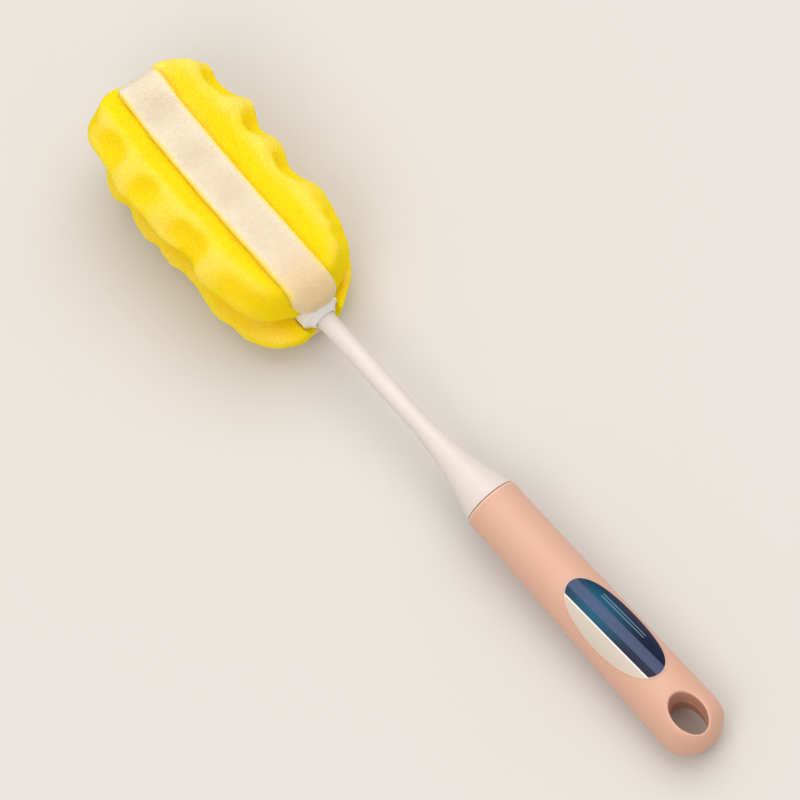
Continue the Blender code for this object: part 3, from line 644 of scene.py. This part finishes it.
def cutSheet(name, size, bevel):
    length, fullHeight, (curve, base) = size
    stations = np.concatenate([
        foam["tipCorner"] * (1 - np.cos(np.linspace(0, math.pi / 2, 8)))[:-1],
        np.arange(foam["tipCorner"], length - curve, foam["stationStep"]),
        length - curve + curve * np.sin(np.linspace(0, math.pi / 2, 16))])
    heights = slabHalfHeight(stations, size)
    outline = [(x, s) for x, s in zip(stations, heights)]
    outline += [(x, -s) for x, s in zip(stations[::-1], heights[::-1])]
    deselectAll()
    bpy.ops.mesh.primitive_circle_add(vertices=len(outline), radius=fullHeight, fill_type="NGON")
    sheet = nameIt(name)
    for vertex, (x, s) in zip(sheet.data.vertices, outline):
        vertex.co = (x, s, -foam["thickness"] / 2)
    editMode()
    selectEverything()
    bpy.ops.mesh.extrude_region_move(TRANSFORM_OT_translate={"value": (0, 0, foam["thickness"])})
    selectEverything()
    bpy.ops.mesh.normals_make_consistent(inside=False)
    objectMode()
    applyModifier(sheet, "BEVEL", width=bevel, segments=foam["bevelSteps"], limit_method="ANGLE",
                  angle_limit=foam["bevelOver"])
    applyModifier(sheet, "REMESH", mode="VOXEL", voxel_size=foam["voxel"])
    applyModifier(sheet, "SMOOTH", factor=0.5, iterations=int(bevel * foam["smoothing"]))
    return sheet


def edgeReach(x, rows):
    # the cut edge's half height, with the corners between the rows smoothed out
    places, heights = np.array(rows).T / 1000
    fine = np.arange(*foam["edgeGrid"])
    bell = np.exp(-np.linspace(-2.5, 2.5, foam["edgeSpan"]) ** 2 / 2)
    level = np.interp(fine, places, heights)
    border = foam["edgeSpan"] // 2 + 1
    level[border:-border] = np.convolve(level, bell / bell.sum(), mode="same")[border:-border]
    return np.interp(x, fine, level)


def shapeEdge(name, points, size):
    # scallops, dimples and the crown of the cut edge, which fade out towards the middle
    x, s, t = points.T
    across = np.clip(t / (foam["thickness"] / 2), -1, 1)
    height = slabHalfHeight(np.clip(x, 0, size[0]), size)
    share = np.clip(np.abs(s) / height, 0, 1.2)  # of the way from the middle, a little past the edge
    change = foam["crown"] * (1 - across ** 2) * share ** foam["crownPower"]
    for place, offset, depth, radius in foam["dimples"][name]:
        distance = ((x - place) ** 2 + (t - offset) ** 2) / radius ** 2
        change -= np.where(s > 0, depth * np.exp(-distance) * share ** foam["dimplePower"], 0)
    inner = 1
    if name != "foam_centre":
        inner = foam["innerShare"] + (1 - foam["innerShare"]) * ease(across, *foam["innerRange"])
    for sign, rows in foam["edges"][name].items():
        reach = edgeReach(x, rows)
        # an edge cut far back draws the whole sheet in, so that it never folds over itself
        short = (height - reach) * inner * share ** (1 + ease(reach / height, *foam["deepRange"]))
        change -= np.where(np.sign(s) == sign, short, 0)
    inside, outside = foam["tipReach"][name]
    reach = (inside + outside) / 2 + (outside - inside) / 2 * across
    fromTip, fromMiddle = foam["tipFade"]
    x = x - reach * (1 - ease(x, 0, fromTip)) * ease(s, 0, fromMiddle)
    return np.column_stack([x, s + np.sign(s) * change, t])


def fanOut(points, side):
    x, s, t = points.T
    across = t / (foam["thickness"] / 2)
    distance = np.abs(s)
    fanned = {}
    for petal in (1, -1):
        section = sections[side, petal]
        angle = np.interp(distance, section["s"], section["angle"])
        half = np.where(across < 0, np.interp(distance, section["s"], section["inner"]),
                        np.interp(distance, section["s"], section["half"]))
        y = np.interp(distance, section["s"], section["y"]) + np.cos(angle) * half * across
        z = np.interp(distance, section["s"], section["z"]) - np.sin(angle) * half * across
        fanned[petal] = y, z
    upper = s > 0
    y = np.where(upper, fanned[1][0], fanned[-1][0])
    z = np.where(upper, fanned[1][1], fanned[-1][1])
    return np.column_stack([x, y * side, np.sign(s) * z])


def fillBetween(points):
    # the white slab keeps its full thickness until the yellow ones press it together
    x, s, t = points.T
    across = t / (foam["thickness"] / 2)
    full = foam["thickness"] / 2
    softness = foam["softness"]
    half = np.zeros(len(points))
    for (side, petal), section in sections.items():
        room = np.interp(np.abs(s), section["innerZ"], section["innerY"]) - foam["gap"]
        pressed = -softness * np.log(np.exp(-room / softness) + np.exp(-full / softness))
        half = np.where((np.sign(t) == side) & (np.sign(s) == petal), pressed, half)
    # nothing squeezes its edges where the yellow ones curve away, and its end corners are round
    fade = ease(np.abs(s), *foam["endFade"])
    half += (full - half) * ease(x, *foam["freeBase"]) * fade
    corner = np.where(t < 0, *foam["endCorners"])
    beyond = np.clip((x - foam["whiteLength"] + corner) / corner, 0, 1)
    half -= corner * (1 - np.sqrt(1 - beyond ** 2)) * fade
    return np.column_stack([x, half * across, s])


def pinchAndLean(points, sheetPoints, length, notch):
    x, y, z = points.T
    fromMiddle = np.abs(sheetPoints[:, 1]) - foam["wireRadius"] - foam["wireRoom"]
    tip = notch * (1 - ease(fromMiddle, 0, foam["notchReach"]))
    x = tip + x * (1 - tip / length)
    along = np.clip(x / foam["collarFace"], 0, 1)
    skew = foam["skewAtTip"] + (foam["skewAtBase"] - foam["skewAtTip"]) * along
    lean = foam["leanAtTip"] * (1 - along) ** foam["leanPower"]
    return np.column_stack([x + skew * y, y + lean, z])


def roughen(piece, size, amount):
    # cloudy lumps of one size, pushed in and out by up to half the amount
    texture = bpy.data.textures.new(piece.name + "Lumps", "CLOUDS")
    texture.noise_scale = size
    texture.noise_depth = 1
    applyModifier(piece, "DISPLACE", texture=texture, texture_coords="LOCAL", strength=amount,
                  mid_level=0.5)


def markSurface(piece, side):
    # proud: how far a point stands out of its smoothed surroundings, plus painted light from above and
    # painted shade in the crease; it drives the painted sheen on ridges and painted shade in hollows
    # flank: how far a point faces sideways
    points = pointsOf(piece)
    ends = np.empty(len(piece.data.edges) * 2, dtype=np.int32)
    piece.data.edges.foreach_get("vertices", ends)
    first, second = ends.reshape(-1, 2).T
    neighbours = np.bincount(ends, minlength=len(points))[:, None]

    def spread(values, steps):
        for step in range(steps):
            total = np.column_stack([
                np.bincount(first, column[second], len(points))
                + np.bincount(second, column[first], len(points)) for column in values.T])
            values = values * (1 - foam["evening"]) + total / neighbours * foam["evening"]
        return values

    level = spread(points, foam["proudSteps"])
    normals = np.empty(len(points) * 3)
    piece.data.vertices.foreach_get("normal", normals)
    normals = normals.reshape(-1, 3)
    proud = ((points - level) * normals).sum(axis=1)
    # painted light from above: faces that look up count as prouder, so they are drawn paler
    proud += foam["topLightFade"] * (normals[:, 2] - foam["topLightLevel"])
    if side:  # painted shade: the yellow is drawn saturated in the crease beside the white strip
        depth, start, reach = foam["creaseShade"]
        fromStrip = np.abs(points @ np.array(sideDir) - brushZero.dot(sideDir)) - start
        proud -= depth * np.exp(-np.maximum(fromStrip, 0) / reach)
    flank = np.abs(normals @ np.array(sideDir))
    proud, flank = spread(np.column_stack([proud, flank]), foam["softSteps"]).T
    for name, values in (("proud", proud), ("flank", flank)):
        layer = piece.data.attributes.new(name, "FLOAT", "POINT")
        layer.data.foreach_set("value", values.astype(np.float32))
    print(piece.name, "stands proud by", np.percentile(proud * 1000, [2, 50, 98]).round(2), "mm")


def foamPiece(name, size, side, notch, finish):
    bevel = foam["yellowBevel"] if side else foam["whiteBevel"]
    piece = cutSheet(name + "_soft", size, bevel)
    shaped = shapeEdge(name, pointsOf(piece), size)
    placed = fanOut(shaped, side) if side else fillBetween(shaped)
    movePoints(piece, pinchAndLean(placed, shaped, size[0], notch))
    if side < 0:  # mirroring the section turned the faces inside out
        piece.data.flip_normals()
    putInPlace(piece, Matrix.Identity(4))
    roughen(piece, *foam["lumps"])
    roughen(piece, *foam["grain"])
    cutAway(piece, pocket)
    if side:
        cutAway(piece, clearance)
    resting = pointsOf(piece)
    resting[:, 2] = np.maximum(resting[:, 2], foam["floorGap"])  # pressed flat where the foam lies
    movePoints(piece, resting)
    markSurface(piece, side)
    piece.data.shade_smooth()
    piece.data.materials.clear()
    piece.data.materials.append(finish)
    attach(piece, "head")
    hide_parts(name)
    print(name, "done,", len(piece.data.polygons), "faces")


# two cutters: the collar's room in all three slabs, and more over it in the yellow ones
pocketEnd = (foam["cutterEnd"], foam["pocket"][-1][1])
pocket = turnPiece("pocket", foam["pocket"] + [pocketEnd], foam["cutterSides"])
putInPlace(pocket)
clearStart, clearRadius, clearLift = foam["clearance"]
clearEnds = [(clearStart, clearRadius), (foam["cutterEnd"], clearRadius)]
clearance = turnPiece("clearance", clearEnds, foam["cutterSides"])
putInPlace(clearance, Matrix.Translation((0, 0, clearLift)) @ layAlong)
yellowSize = (foam["yellowLength"], foam["yellowHalfHeight"], foam["yellowBase"])
whiteSize = (foam["whiteLength"], foam["whiteHalfHeight"], foam["whiteBase"])
foamPiece("foam_left", yellowSize, -1, foam["yellowNotch"], yellowFoam)
foamPiece("foam_centre", whiteSize, 0, foam["whiteNotch"], whiteFoam)
foamPiece("foam_right", yellowSize, 1, foam["yellowNotch"], yellowFoam)
bpy.data.objects.remove(pocket)
bpy.data.objects.remove(clearance)


# Collar: a sleeve inside the foam, a flange with a raised rim, and a boss round the stem.
collar = {
    "sleeveStart": 0.1025, "sleeveRadius": 0.0044, "sleeveFloor": 0.0018, "sleeveEdge": 0.0004,
    "face": 0.1100, "radius": 0.0087, "flangeEnd": 0.1156, "edge": 0.0005, "edgeStep": 0.00015,
    "rimRoot": 0.0014, "rimPlace": 0.00065, "rimHalf": 0.00055, "rimHeight": 0.0003,
    "rimLean": 0.00008, "rimSteps": 8,
    "bossEnd": 0.1182, "bossRadius": 0.0053, "bossCurve": 1.6, "bossSteps": 10,
    "bossLip": (0.0001, 0.0003), "round": 0.0002,
    "counterbore": 0.0016, "shaftRoom": 0.00445, "spigotRoom": 0.0032,
}


def makeCollar():
    sleeve = collar["sleeveStart"]
    face = collar["face"]
    flangeEnd = collar["flangeEnd"]
    bossEnd = collar["bossEnd"]
    outline = [
        (sleeve, collar["sleeveRadius"] - collar["sleeveEdge"]),
        (sleeve + collar["sleeveEdge"], collar["sleeveRadius"]),
        (face - collar["round"], collar["sleeveRadius"]),
        (face, collar["sleeveRadius"] + collar["round"]),
        (face, collar["radius"] - collar["edge"]),
        (face + collar["edgeStep"], collar["radius"] - collar["edgeStep"]),
        (face + collar["edge"], collar["radius"]),
        (flangeEnd - collar["rimRoot"], collar["radius"]),
    ]
    for step in range(collar["rimSteps"] + 1):  # the bright rim, half round
        turn = math.pi * step / collar["rimSteps"]
        rise = collar["rimHeight"] * math.sin(turn) - collar["rimLean"] * step
        outline.append((flangeEnd - collar["rimPlace"] - collar["rimHalf"] * math.cos(turn),
                        collar["radius"] + rise))
    drop = outline[-1][1] - collar["bossRadius"]
    for step in range(1, collar["bossSteps"] + 1):
        share = step / collar["bossSteps"]
        outline.append((flangeEnd + (bossEnd - flangeEnd) * share ** collar["bossCurve"],
                        collar["bossRadius"] + drop * (1 - share)))
    lipReach, lipDrop = collar["bossLip"]
    sleeveFloor = sleeve + collar["sleeveFloor"]
    outline += [
        (bossEnd + lipReach, collar["bossRadius"] - lipDrop),
        (bossEnd, collar["shaftRoom"] + collar["round"]),
        (bossEnd - collar["round"], collar["shaftRoom"]),
        (bossEnd - collar["counterbore"], collar["shaftRoom"]),
        (bossEnd - collar["counterbore"], collar["spigotRoom"]),
        (sleeveFloor, collar["spigotRoom"]),
        (sleeveFloor, 0),
    ]
    piece = turnPiece("collar_moulding", outline, turnedSides)
    putInPlace(piece)
    smooth(piece, 40)
    piece.data.materials.append(collarPlastic)
    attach(piece, "head")
    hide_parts("collar")
    print("collar done")


makeCollar()


# Stem: spigot, straight shaft and trumpet flare, with the plug that runs on inside the grip.
stem = {
    "spigotRadius": 0.0029, "spigotEdge": 0.0004,
    "shaftStart": 0.1169, "shaftRadius": 0.00415, "shaftEdge": 0.0002, "shaftRings": (0.0200, 0.0400),
    "flareLength": 0.0442, "flareRadius": 0.01170, "flarePower": 1.7, "flareSteps": 32,
    "seam": 0.0002, "mouthEdge": 0.0003, "mouthSteps": 4,
    "plugRadius": 0.0096, "plugLength": 0.0200, "plugEdge": 0.0004,
    "ridgePlace": 0.0120, "ridgeHalf": 0.0011, "ridgeHeight": 0.00045,
    "wall": 0.0020, "hollow": 0.0250, "hollowSteps": 8, "hollowPoint": 0.0020,
}
flareStart = gripStart - stem["flareLength"]


def flareRadius(place):
    share = min(max((place - flareStart) / stem["flareLength"], 0), 1)
    widening = stem["flareRadius"] - stem["shaftRadius"]
    return stem["shaftRadius"] + widening * share ** stem["flarePower"]


def makeStem():
    shaftStart = stem["shaftStart"]
    flareEnd = gripStart - stem["seam"]
    edge = stem["mouthEdge"]
    outline = [
        (spigotStart, stem["spigotRadius"] - stem["spigotEdge"]),
        (spigotStart + stem["spigotEdge"], stem["spigotRadius"]),
        (shaftStart, stem["spigotRadius"]),
        (shaftStart, stem["shaftRadius"] - stem["shaftEdge"]),
        (shaftStart + stem["shaftEdge"], stem["shaftRadius"]),
    ]
    outline += [(shaftStart + ring, stem["shaftRadius"]) for ring in stem["shaftRings"]]
    for step in range(stem["flareSteps"] + 1):
        place = flareStart + (flareEnd - edge - flareStart) * step / stem["flareSteps"]
        outline.append((place, flareRadius(place)))
    for step in range(1, stem["mouthSteps"] + 1):  # the rounded mouth of the flare
        turn = math.pi / 2 * step / stem["mouthSteps"]
        outline.append((flareEnd - edge + edge * math.sin(turn),
                        flareRadius(flareEnd) - edge + edge * math.cos(turn)))
    plugEnd = gripStart + stem["plugLength"]
    ridge = gripStart + stem["ridgePlace"]  # it snaps into the grip
    hollowRadius = stem["plugRadius"] - stem["wall"]
    outline += [
        (flareEnd, stem["plugRadius"]),
        (ridge - stem["ridgeHalf"], stem["plugRadius"]),
        (ridge, stem["plugRadius"] + stem["ridgeHeight"]),
        (ridge + stem["ridgeHalf"], stem["plugRadius"]),
        (plugEnd - stem["plugEdge"], stem["plugRadius"]),
        (plugEnd, stem["plugRadius"] - stem["plugEdge"]),
        (plugEnd, hollowRadius),
        (gripStart, hollowRadius),
    ]
    for step in range(1, stem["hollowSteps"] + 1):
        place = gripStart - stem["hollow"] * step / stem["hollowSteps"]
        outline.append((place, min(flareRadius(place) - stem["wall"], hollowRadius)))
    outline.append((outline[-1][0] - stem["hollowPoint"], 0))
    piece = turnPiece("stem_moulding", outline, turnedSides)
    putInPlace(piece)
    smooth(piece, 40)
    piece.data.materials.append(stemPlastic)
    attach(piece, "handle")
    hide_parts("stem")
    print("stem done")


makeStem()


# Grip: a hollow tapering tube with a domed end and an oval hanging hole right through it.
grip = {
    "length": 0.1313, "lipRadius": 0.0121, "waistRadius": 0.01195, "waistPlace": 0.0110,
    "tailRadius": 0.01405, "taperPower": 1.15, "domeLength": 0.0127, "domePower": 2.2,
    "boreRadius": 0.0099, "boreEdge": 0.0003, "boreRings": (0.0206, 0.0060, 0.0006),
    "boreStep": (0.0215, 0.0101), "boreEnd": 0.3221,
    "boreFloor": [(0, 0.0030), (0.0007, 0.0075), (0.0045, 0.0105)],  # distance before the end, radius
    "lipEdges": [(0, 0.0009), (0.0003, 0.0002)],  # distance behind the seam, and how far in
    "frontRings": (0.0010, 0.0025, 0.0060, 0.0110), "tubeStart": 0.0200, "tubeEnd": 0.0110,
    "patchRoom": 0.0040, "ringSteps": 9, "tailRings": (0.00055, 0.0001), "tailPoint": 0.00012,
    "holeHalfLength": 0.0093, "holeHalfWidth": 0.0065, "holeRim": 0.0013, "holeCentre": 0.3367,
    "rimRings": [(1.5, 0), (0.62, 0.02), (0.06, 0.45), (0, 1.5)],  # spread and drop, in rims
    "throatRings": [(0, 0.0020), (0.0004, 0.00045), (0.0006, 0.00012)],  # how far in, and height
    "patchEnds": (0.3246, 0.3486), "outerShare": 0.9, "sides": 32,
    "gateOffset": 0.0022, "gateHeight": 0.0006, "gateRange": (0.0002, 0.0016),
}
gripEnd = gripStart + grip["length"]
cageSwell = 3 / (2 + math.cos(2 * math.pi / grip["sides"]))  # the subdivided cage shrinks by this


def gripRadius(place):
    fromFront = place - gripStart
    domeStart = grip["length"] - grip["domeLength"]
    if fromFront < grip["waistPlace"]:
        share = 1 - fromFront / grip["waistPlace"]
        return grip["waistRadius"] + (grip["lipRadius"] - grip["waistRadius"]) * share ** 2
    if fromFront < domeStart:
        share = (fromFront - grip["waistPlace"]) / (domeStart - grip["waistPlace"])
        widening = grip["tailRadius"] - grip["waistRadius"]
        return grip["waistRadius"] + widening * share ** grip["taperPower"]
    share = min((fromFront - domeStart) / grip["domeLength"], 1)
    return grip["tailRadius"] * (1 - share ** grip["domePower"]) ** (1 / grip["domePower"])


def gripOutline():
    # from the bore's end back to the lip, then along the outside to the domed end
    bore = grip["boreRadius"]
    stepPlace, stepRadius = grip["boreStep"]
    outline = [(grip["boreEnd"] - before, radius) for before, radius in grip["boreFloor"]]
    outline.append((gripStart + stepPlace, stepRadius))
    outline += [(gripStart + ring, bore) for ring in grip["boreRings"]]
    outline.append((gripStart, bore + grip["boreEdge"]))
    outline += [(gripStart + behind, grip["lipRadius"] - inward) for behind, inward in grip["lipEdges"]]
    patchStart, patchEnd = grip["patchEnds"]
    tubeStart = gripStart + grip["tubeStart"]
    places = [gripStart + ring for ring in grip["frontRings"]]
    places += list(np.linspace(tubeStart, patchStart - grip["tubeEnd"], grip["ringSteps"]))
    places.append(patchStart - grip["patchRoom"])
    places += list(np.linspace(patchStart, patchEnd, grip["ringSteps"]))
    places += [gripEnd - ring for ring in grip["tailRings"]]
    outline += [(place, gripRadius(place)) for place in places]
    outline.append((gripEnd + grip["tailPoint"], 0))
    return [(place, radius * cageSwell) for place, radius in outline]


def holePoint(turn, spread, drop, sign):
    # a point of the oval's rim, spread outwards over the grip and dropped under its surface
    outward = Vector((math.cos(turn) / grip["holeHalfLength"], math.sin(turn) / grip["holeHalfWidth"]))
    outward.normalize()
    x = grip["holeCentre"] + grip["holeHalfLength"] * math.cos(turn) + outward.x * spread
    y = grip["holeHalfWidth"] * math.sin(turn) + outward.y * spread
    surface = math.sqrt(gripRadius(x) ** 2 - y ** 2)
    return Vector((x, y * cageSwell, sign * (surface * cageSwell - drop)))


def turnOf(vertex):
    # where a point stands round the oval, as an angle
    return math.atan2(vertex.co.y / grip["holeHalfWidth"],
                      (vertex.co.x - grip["holeCentre"]) / grip["holeHalfLength"])


def sortedRing(mesh, sign):
    bm = bmesh.from_edit_mesh(mesh)
    return sorted((vertex for vertex in bm.verts if vertex.select and vertex.co.z * sign > 0),
                  key=turnOf)


def openHole(piece):
    patchStart, patchEnd = grip["patchEnds"]
    editMode()
    bpy.ops.mesh.select_mode(type="FACE")
    bpy.ops.mesh.select_all(action="DESELECT")
    bm = bmesh.from_edit_mesh(piece.data)
    for face in bm.faces:
        middle = face.calc_center_median()
        outside = math.hypot(middle.y, middle.z) > gripRadius(middle.x) * grip["outerShare"]
        inPatch = patchStart < middle.x < patchEnd and abs(middle.y) < abs(middle.z)
        face.select_set(outside and inPatch)
    bpy.ops.mesh.delete(type="FACE")
    bpy.ops.mesh.select_mode(type="EDGE")
    bpy.ops.mesh.select_all(action="DESELECT")
    bm = bmesh.from_edit_mesh(piece.data)
    for edge in bm.edges:
        edge.select_set(edge.is_boundary)
    turns = {}
    borders = {}
    for sign in (1, -1):
        ring = sortedRing(piece.data, sign)
        even = np.linspace(-math.pi, math.pi, len(ring), endpoint=False) + 2 * math.pi / len(ring)
        turns[sign] = [(turnOf(vertex) + place) / 2 for vertex, place in zip(ring, even)]
        borders[sign] = [vertex.co.copy() for vertex in ring]
    print("hole cut,", len(borders[1]), "points round its border")
    # rings from the grip's surface over the soft rim and down the wall to the parting line
    rimRings = [(spread * grip["holeRim"], drop * grip["holeRim"]) for spread, drop in grip["rimRings"]]
    steps = [("between", *rimRings[0])] + [("oval", *ring) for ring in rimRings]
    steps += [("throat", -inward, height) for inward, height in grip["throatRings"]]
    for kind, spread, drop in steps:
        bpy.ops.mesh.extrude_region_move(TRANSFORM_OT_translate={"value": (0, 0, 0)})
        for sign in (1, -1):
            ring = sortedRing(piece.data, sign)
            for vertex, turn, border in zip(ring, turns[sign], borders[sign]):
                if kind == "between":
                    near = holePoint(turn, spread, drop, sign)
                    x = (near.x + border.x) / 2
                    y = (near.y + border.y) / 2
                    vertex.co = (x, y, sign * math.sqrt((gripRadius(x) * cageSwell) ** 2 - y ** 2))
                elif kind == "oval":
                    vertex.co = holePoint(turn, spread, drop, sign)
                else:
                    wall = holePoint(turn, spread, 0, sign)
                    vertex.co = (wall.x, wall.y, sign * drop)
        bmesh.update_edit_mesh(piece.data)
    bpy.ops.mesh.bridge_edge_loops()
    selectEverything()
    bpy.ops.mesh.normals_make_consistent(inside=False)
    objectMode()


def makeGrip():
    piece = turnPiece("grip_moulding", gripOutline(), grip["sides"])
    piece.data.transform(layAlong)
    openHole(piece)
    applyModifier(piece, "SUBSURF", levels=2, render_levels=2)
    points = pointsOf(piece)
    gate = np.array([gripEnd, grip["gateOffset"], 0])  # the stub of the moulding gate on the dome
    fromGate = np.linalg.norm(points - gate, axis=1)
    points[:, 0] += grip["gateHeight"] * (1 - ease(fromGate, *grip["gateRange"]))
    movePoints(piece, points)
    putInPlace(piece, Matrix.Identity(4))
    smooth(piece, 60)
    piece.data.materials.append(gripPlastic)
    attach(piece, "handle")
    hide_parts("grip")
    print("grip done, ends at", round(points[:, 0].max(), 5))


makeGrip()


# Label: thin printed film, an oval wrapped over the top of the grip.
label = {
    "length": 0.0522, "width": 0.0243, "thickness": 0.00016, "lift": 0.00012,
    "place": 0.0735, "roll": math.radians(4), "turn": math.radians(2.5), "sides": 96,
    "rings": (0.985, 0.95, 0.88, 0.78, 0.66, 0.54, 0.42, 0.3, 0.18, 0.08),
}


def makeLabel():
    deselectAll()
    bpy.ops.mesh.primitive_circle_add(vertices=label["sides"], radius=1, fill_type="NOTHING")
    piece = nameIt("label_film")
    editMode()
    selectEverything()
    radius = 1
    for nextRadius in label["rings"]:
        scale = nextRadius / radius
        bpy.ops.mesh.extrude_region_move(TRANSFORM_OT_translate={"value": (0, 0, 0)})
        bpy.ops.transform.resize(value=(scale, scale, 1), center_override=(0, 0, 0))
        radius = nextRadius
    bpy.ops.mesh.extrude_region_move(TRANSFORM_OT_translate={"value": (0, 0, 0)})
    bpy.ops.mesh.merge(type="CENTER")
    selectEverything()
    bpy.ops.mesh.normals_make_consistent(inside=False)
    objectMode()
    chart = piece.data.uv_layers[0]
    for loop in piece.data.loops:
        spot = piece.data.vertices[loop.vertex_index].co
        chart.data[loop.index].uv = (spot.x / 2 + 0.5, spot.y / 2 + 0.5)
    centre = gripStart + label["place"]
    for vertex in piece.data.vertices:
        along = vertex.co.x * label["length"] / 2
        around = vertex.co.y * label["width"] / 2
        x = centre + along * math.cos(label["turn"]) - around * math.sin(label["turn"])
        arc = along * math.sin(label["turn"]) + around * math.cos(label["turn"])
        angle = arc / gripRadius(centre) + label["roll"]
        radius = gripRadius(x) + label["lift"]
        vertex.co = (x, radius * math.sin(angle), radius * math.cos(angle))
    if sum(face.normal.z for face in piece.data.polygons) < 0:
        piece.data.flip_normals()
    applyModifier(piece, "SOLIDIFY", thickness=label["thickness"], offset=1)
    putInPlace(piece, Matrix.Identity(4))
    smooth(piece, 40)
    piece.data.materials.append(labelFilm)
    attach(piece, "handle")
    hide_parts("label")
    print("label done")


makeLabel()


# Wire loop: the CAD's bent wire is right as it is, and takes the drawn steel.
for materialSlot in frame["nodes"]["clamp_loop"].material_slots:
    materialSlot.material = drawnSteel


# Floor, light and camera.
studio = {
    "floorSize": 6, "floorDull": colour(206, 203, 199), "floorBright": colour(209, 206, 202),
    "mottleScale": 9, "roughness": (0.7, 0.1),
    "keyPower": 14, "keySize": 1.4, "keyPlace": (-0.3, 0.4, 1.45), "keyTint": (1, 0.98, 0.95),
    "fillPower": 6.5, "fillSize": 0.8, "fillPlace": (0.3, -0.75, 1.3), "fillTint": (1, 0.98, 0.96),
    "skyStrength": 0.65, "skyTint": (1, 0.98, 0.96, 1),
}
view = {
    "place": (0.87948, -0.48582, 2.8177), "azimuth": 61.391, "elevation": 70.073,
    "roll": -12.65, "lens": 337.5, "sensor": 36, "reach": 20,
}


def makeFloor():
    deselectAll()
    bpy.ops.mesh.primitive_grid_add(x_subdivisions=8, y_subdivisions=8, size=studio["floorSize"])
    floor = nameIt("floor")
    finish = Finish("paleFloor")
    mottle = finish.noise(studio["mottleScale"], 2)
    finish.feed({
        "Base Color": finish.mix(mottle, studio["floorDull"], studio["floorBright"]),
        "Roughness": finish.vary(mottle, studio["roughness"]),
    })
    floor.data.materials.append(finish.material)


def areaLight(name):
    data = bpy.data.lights.new(name + "Light", "AREA")
    data.size = studio[name + "Size"]
    data.energy = studio[name + "Power"]
    data.color = studio[name + "Tint"]
    lamp = bpy.data.objects.new(name + "Light", data)
    lamp.location = studio[name + "Place"]
    lamp.rotation_mode = "QUATERNION"
    lamp.rotation_quaternion = (-lamp.location).to_track_quat("-Z", "Y")  # it faces the brush
    bpy.context.scene.collection.objects.link(lamp)


def makeSky():
    sky = bpy.data.worlds.new("sky")
    sky.use_nodes = True
    background = sky.node_tree.nodes["Background"].inputs
    background["Color"].default_value = studio["skyTint"]
    background["Strength"].default_value = studio["skyStrength"]
    bpy.context.scene.world = sky


def makeCamera():
    azimuth = math.radians(view["azimuth"])
    elevation = math.radians(view["elevation"])
    roll = math.radians(view["roll"])
    back = Vector((math.sin(azimuth) * math.cos(elevation), -math.cos(azimuth) * math.cos(elevation),
                   math.sin(elevation)))
    flatRight = (-back).cross(Vector((0, 0, 1))).normalized()
    flatUp = back.cross(flatRight)
    right = flatRight * math.cos(roll) + flatUp * math.sin(roll)
    up = flatUp * math.cos(roll) - flatRight * math.sin(roll)
    data = bpy.data.cameras.new("camera")
    data.lens = view["lens"]
    data.sensor_width = view["sensor"]
    data.clip_end = view["reach"]
    camera = bpy.data.objects.new("camera", data)
    matrix = Matrix((right, up, back)).transposed().to_4x4()
    matrix.translation = view["place"]
    camera.matrix_world = matrix
    bpy.context.scene.collection.objects.link(camera)
    bpy.context.scene.camera = camera


makeFloor()
areaLight("key")
areaLight("fill")
makeSky()
bpy.context.scene.view_settings.view_transform = "Standard"  # colours as a product photograph has
makeCamera()
print("floor, light and camera done")
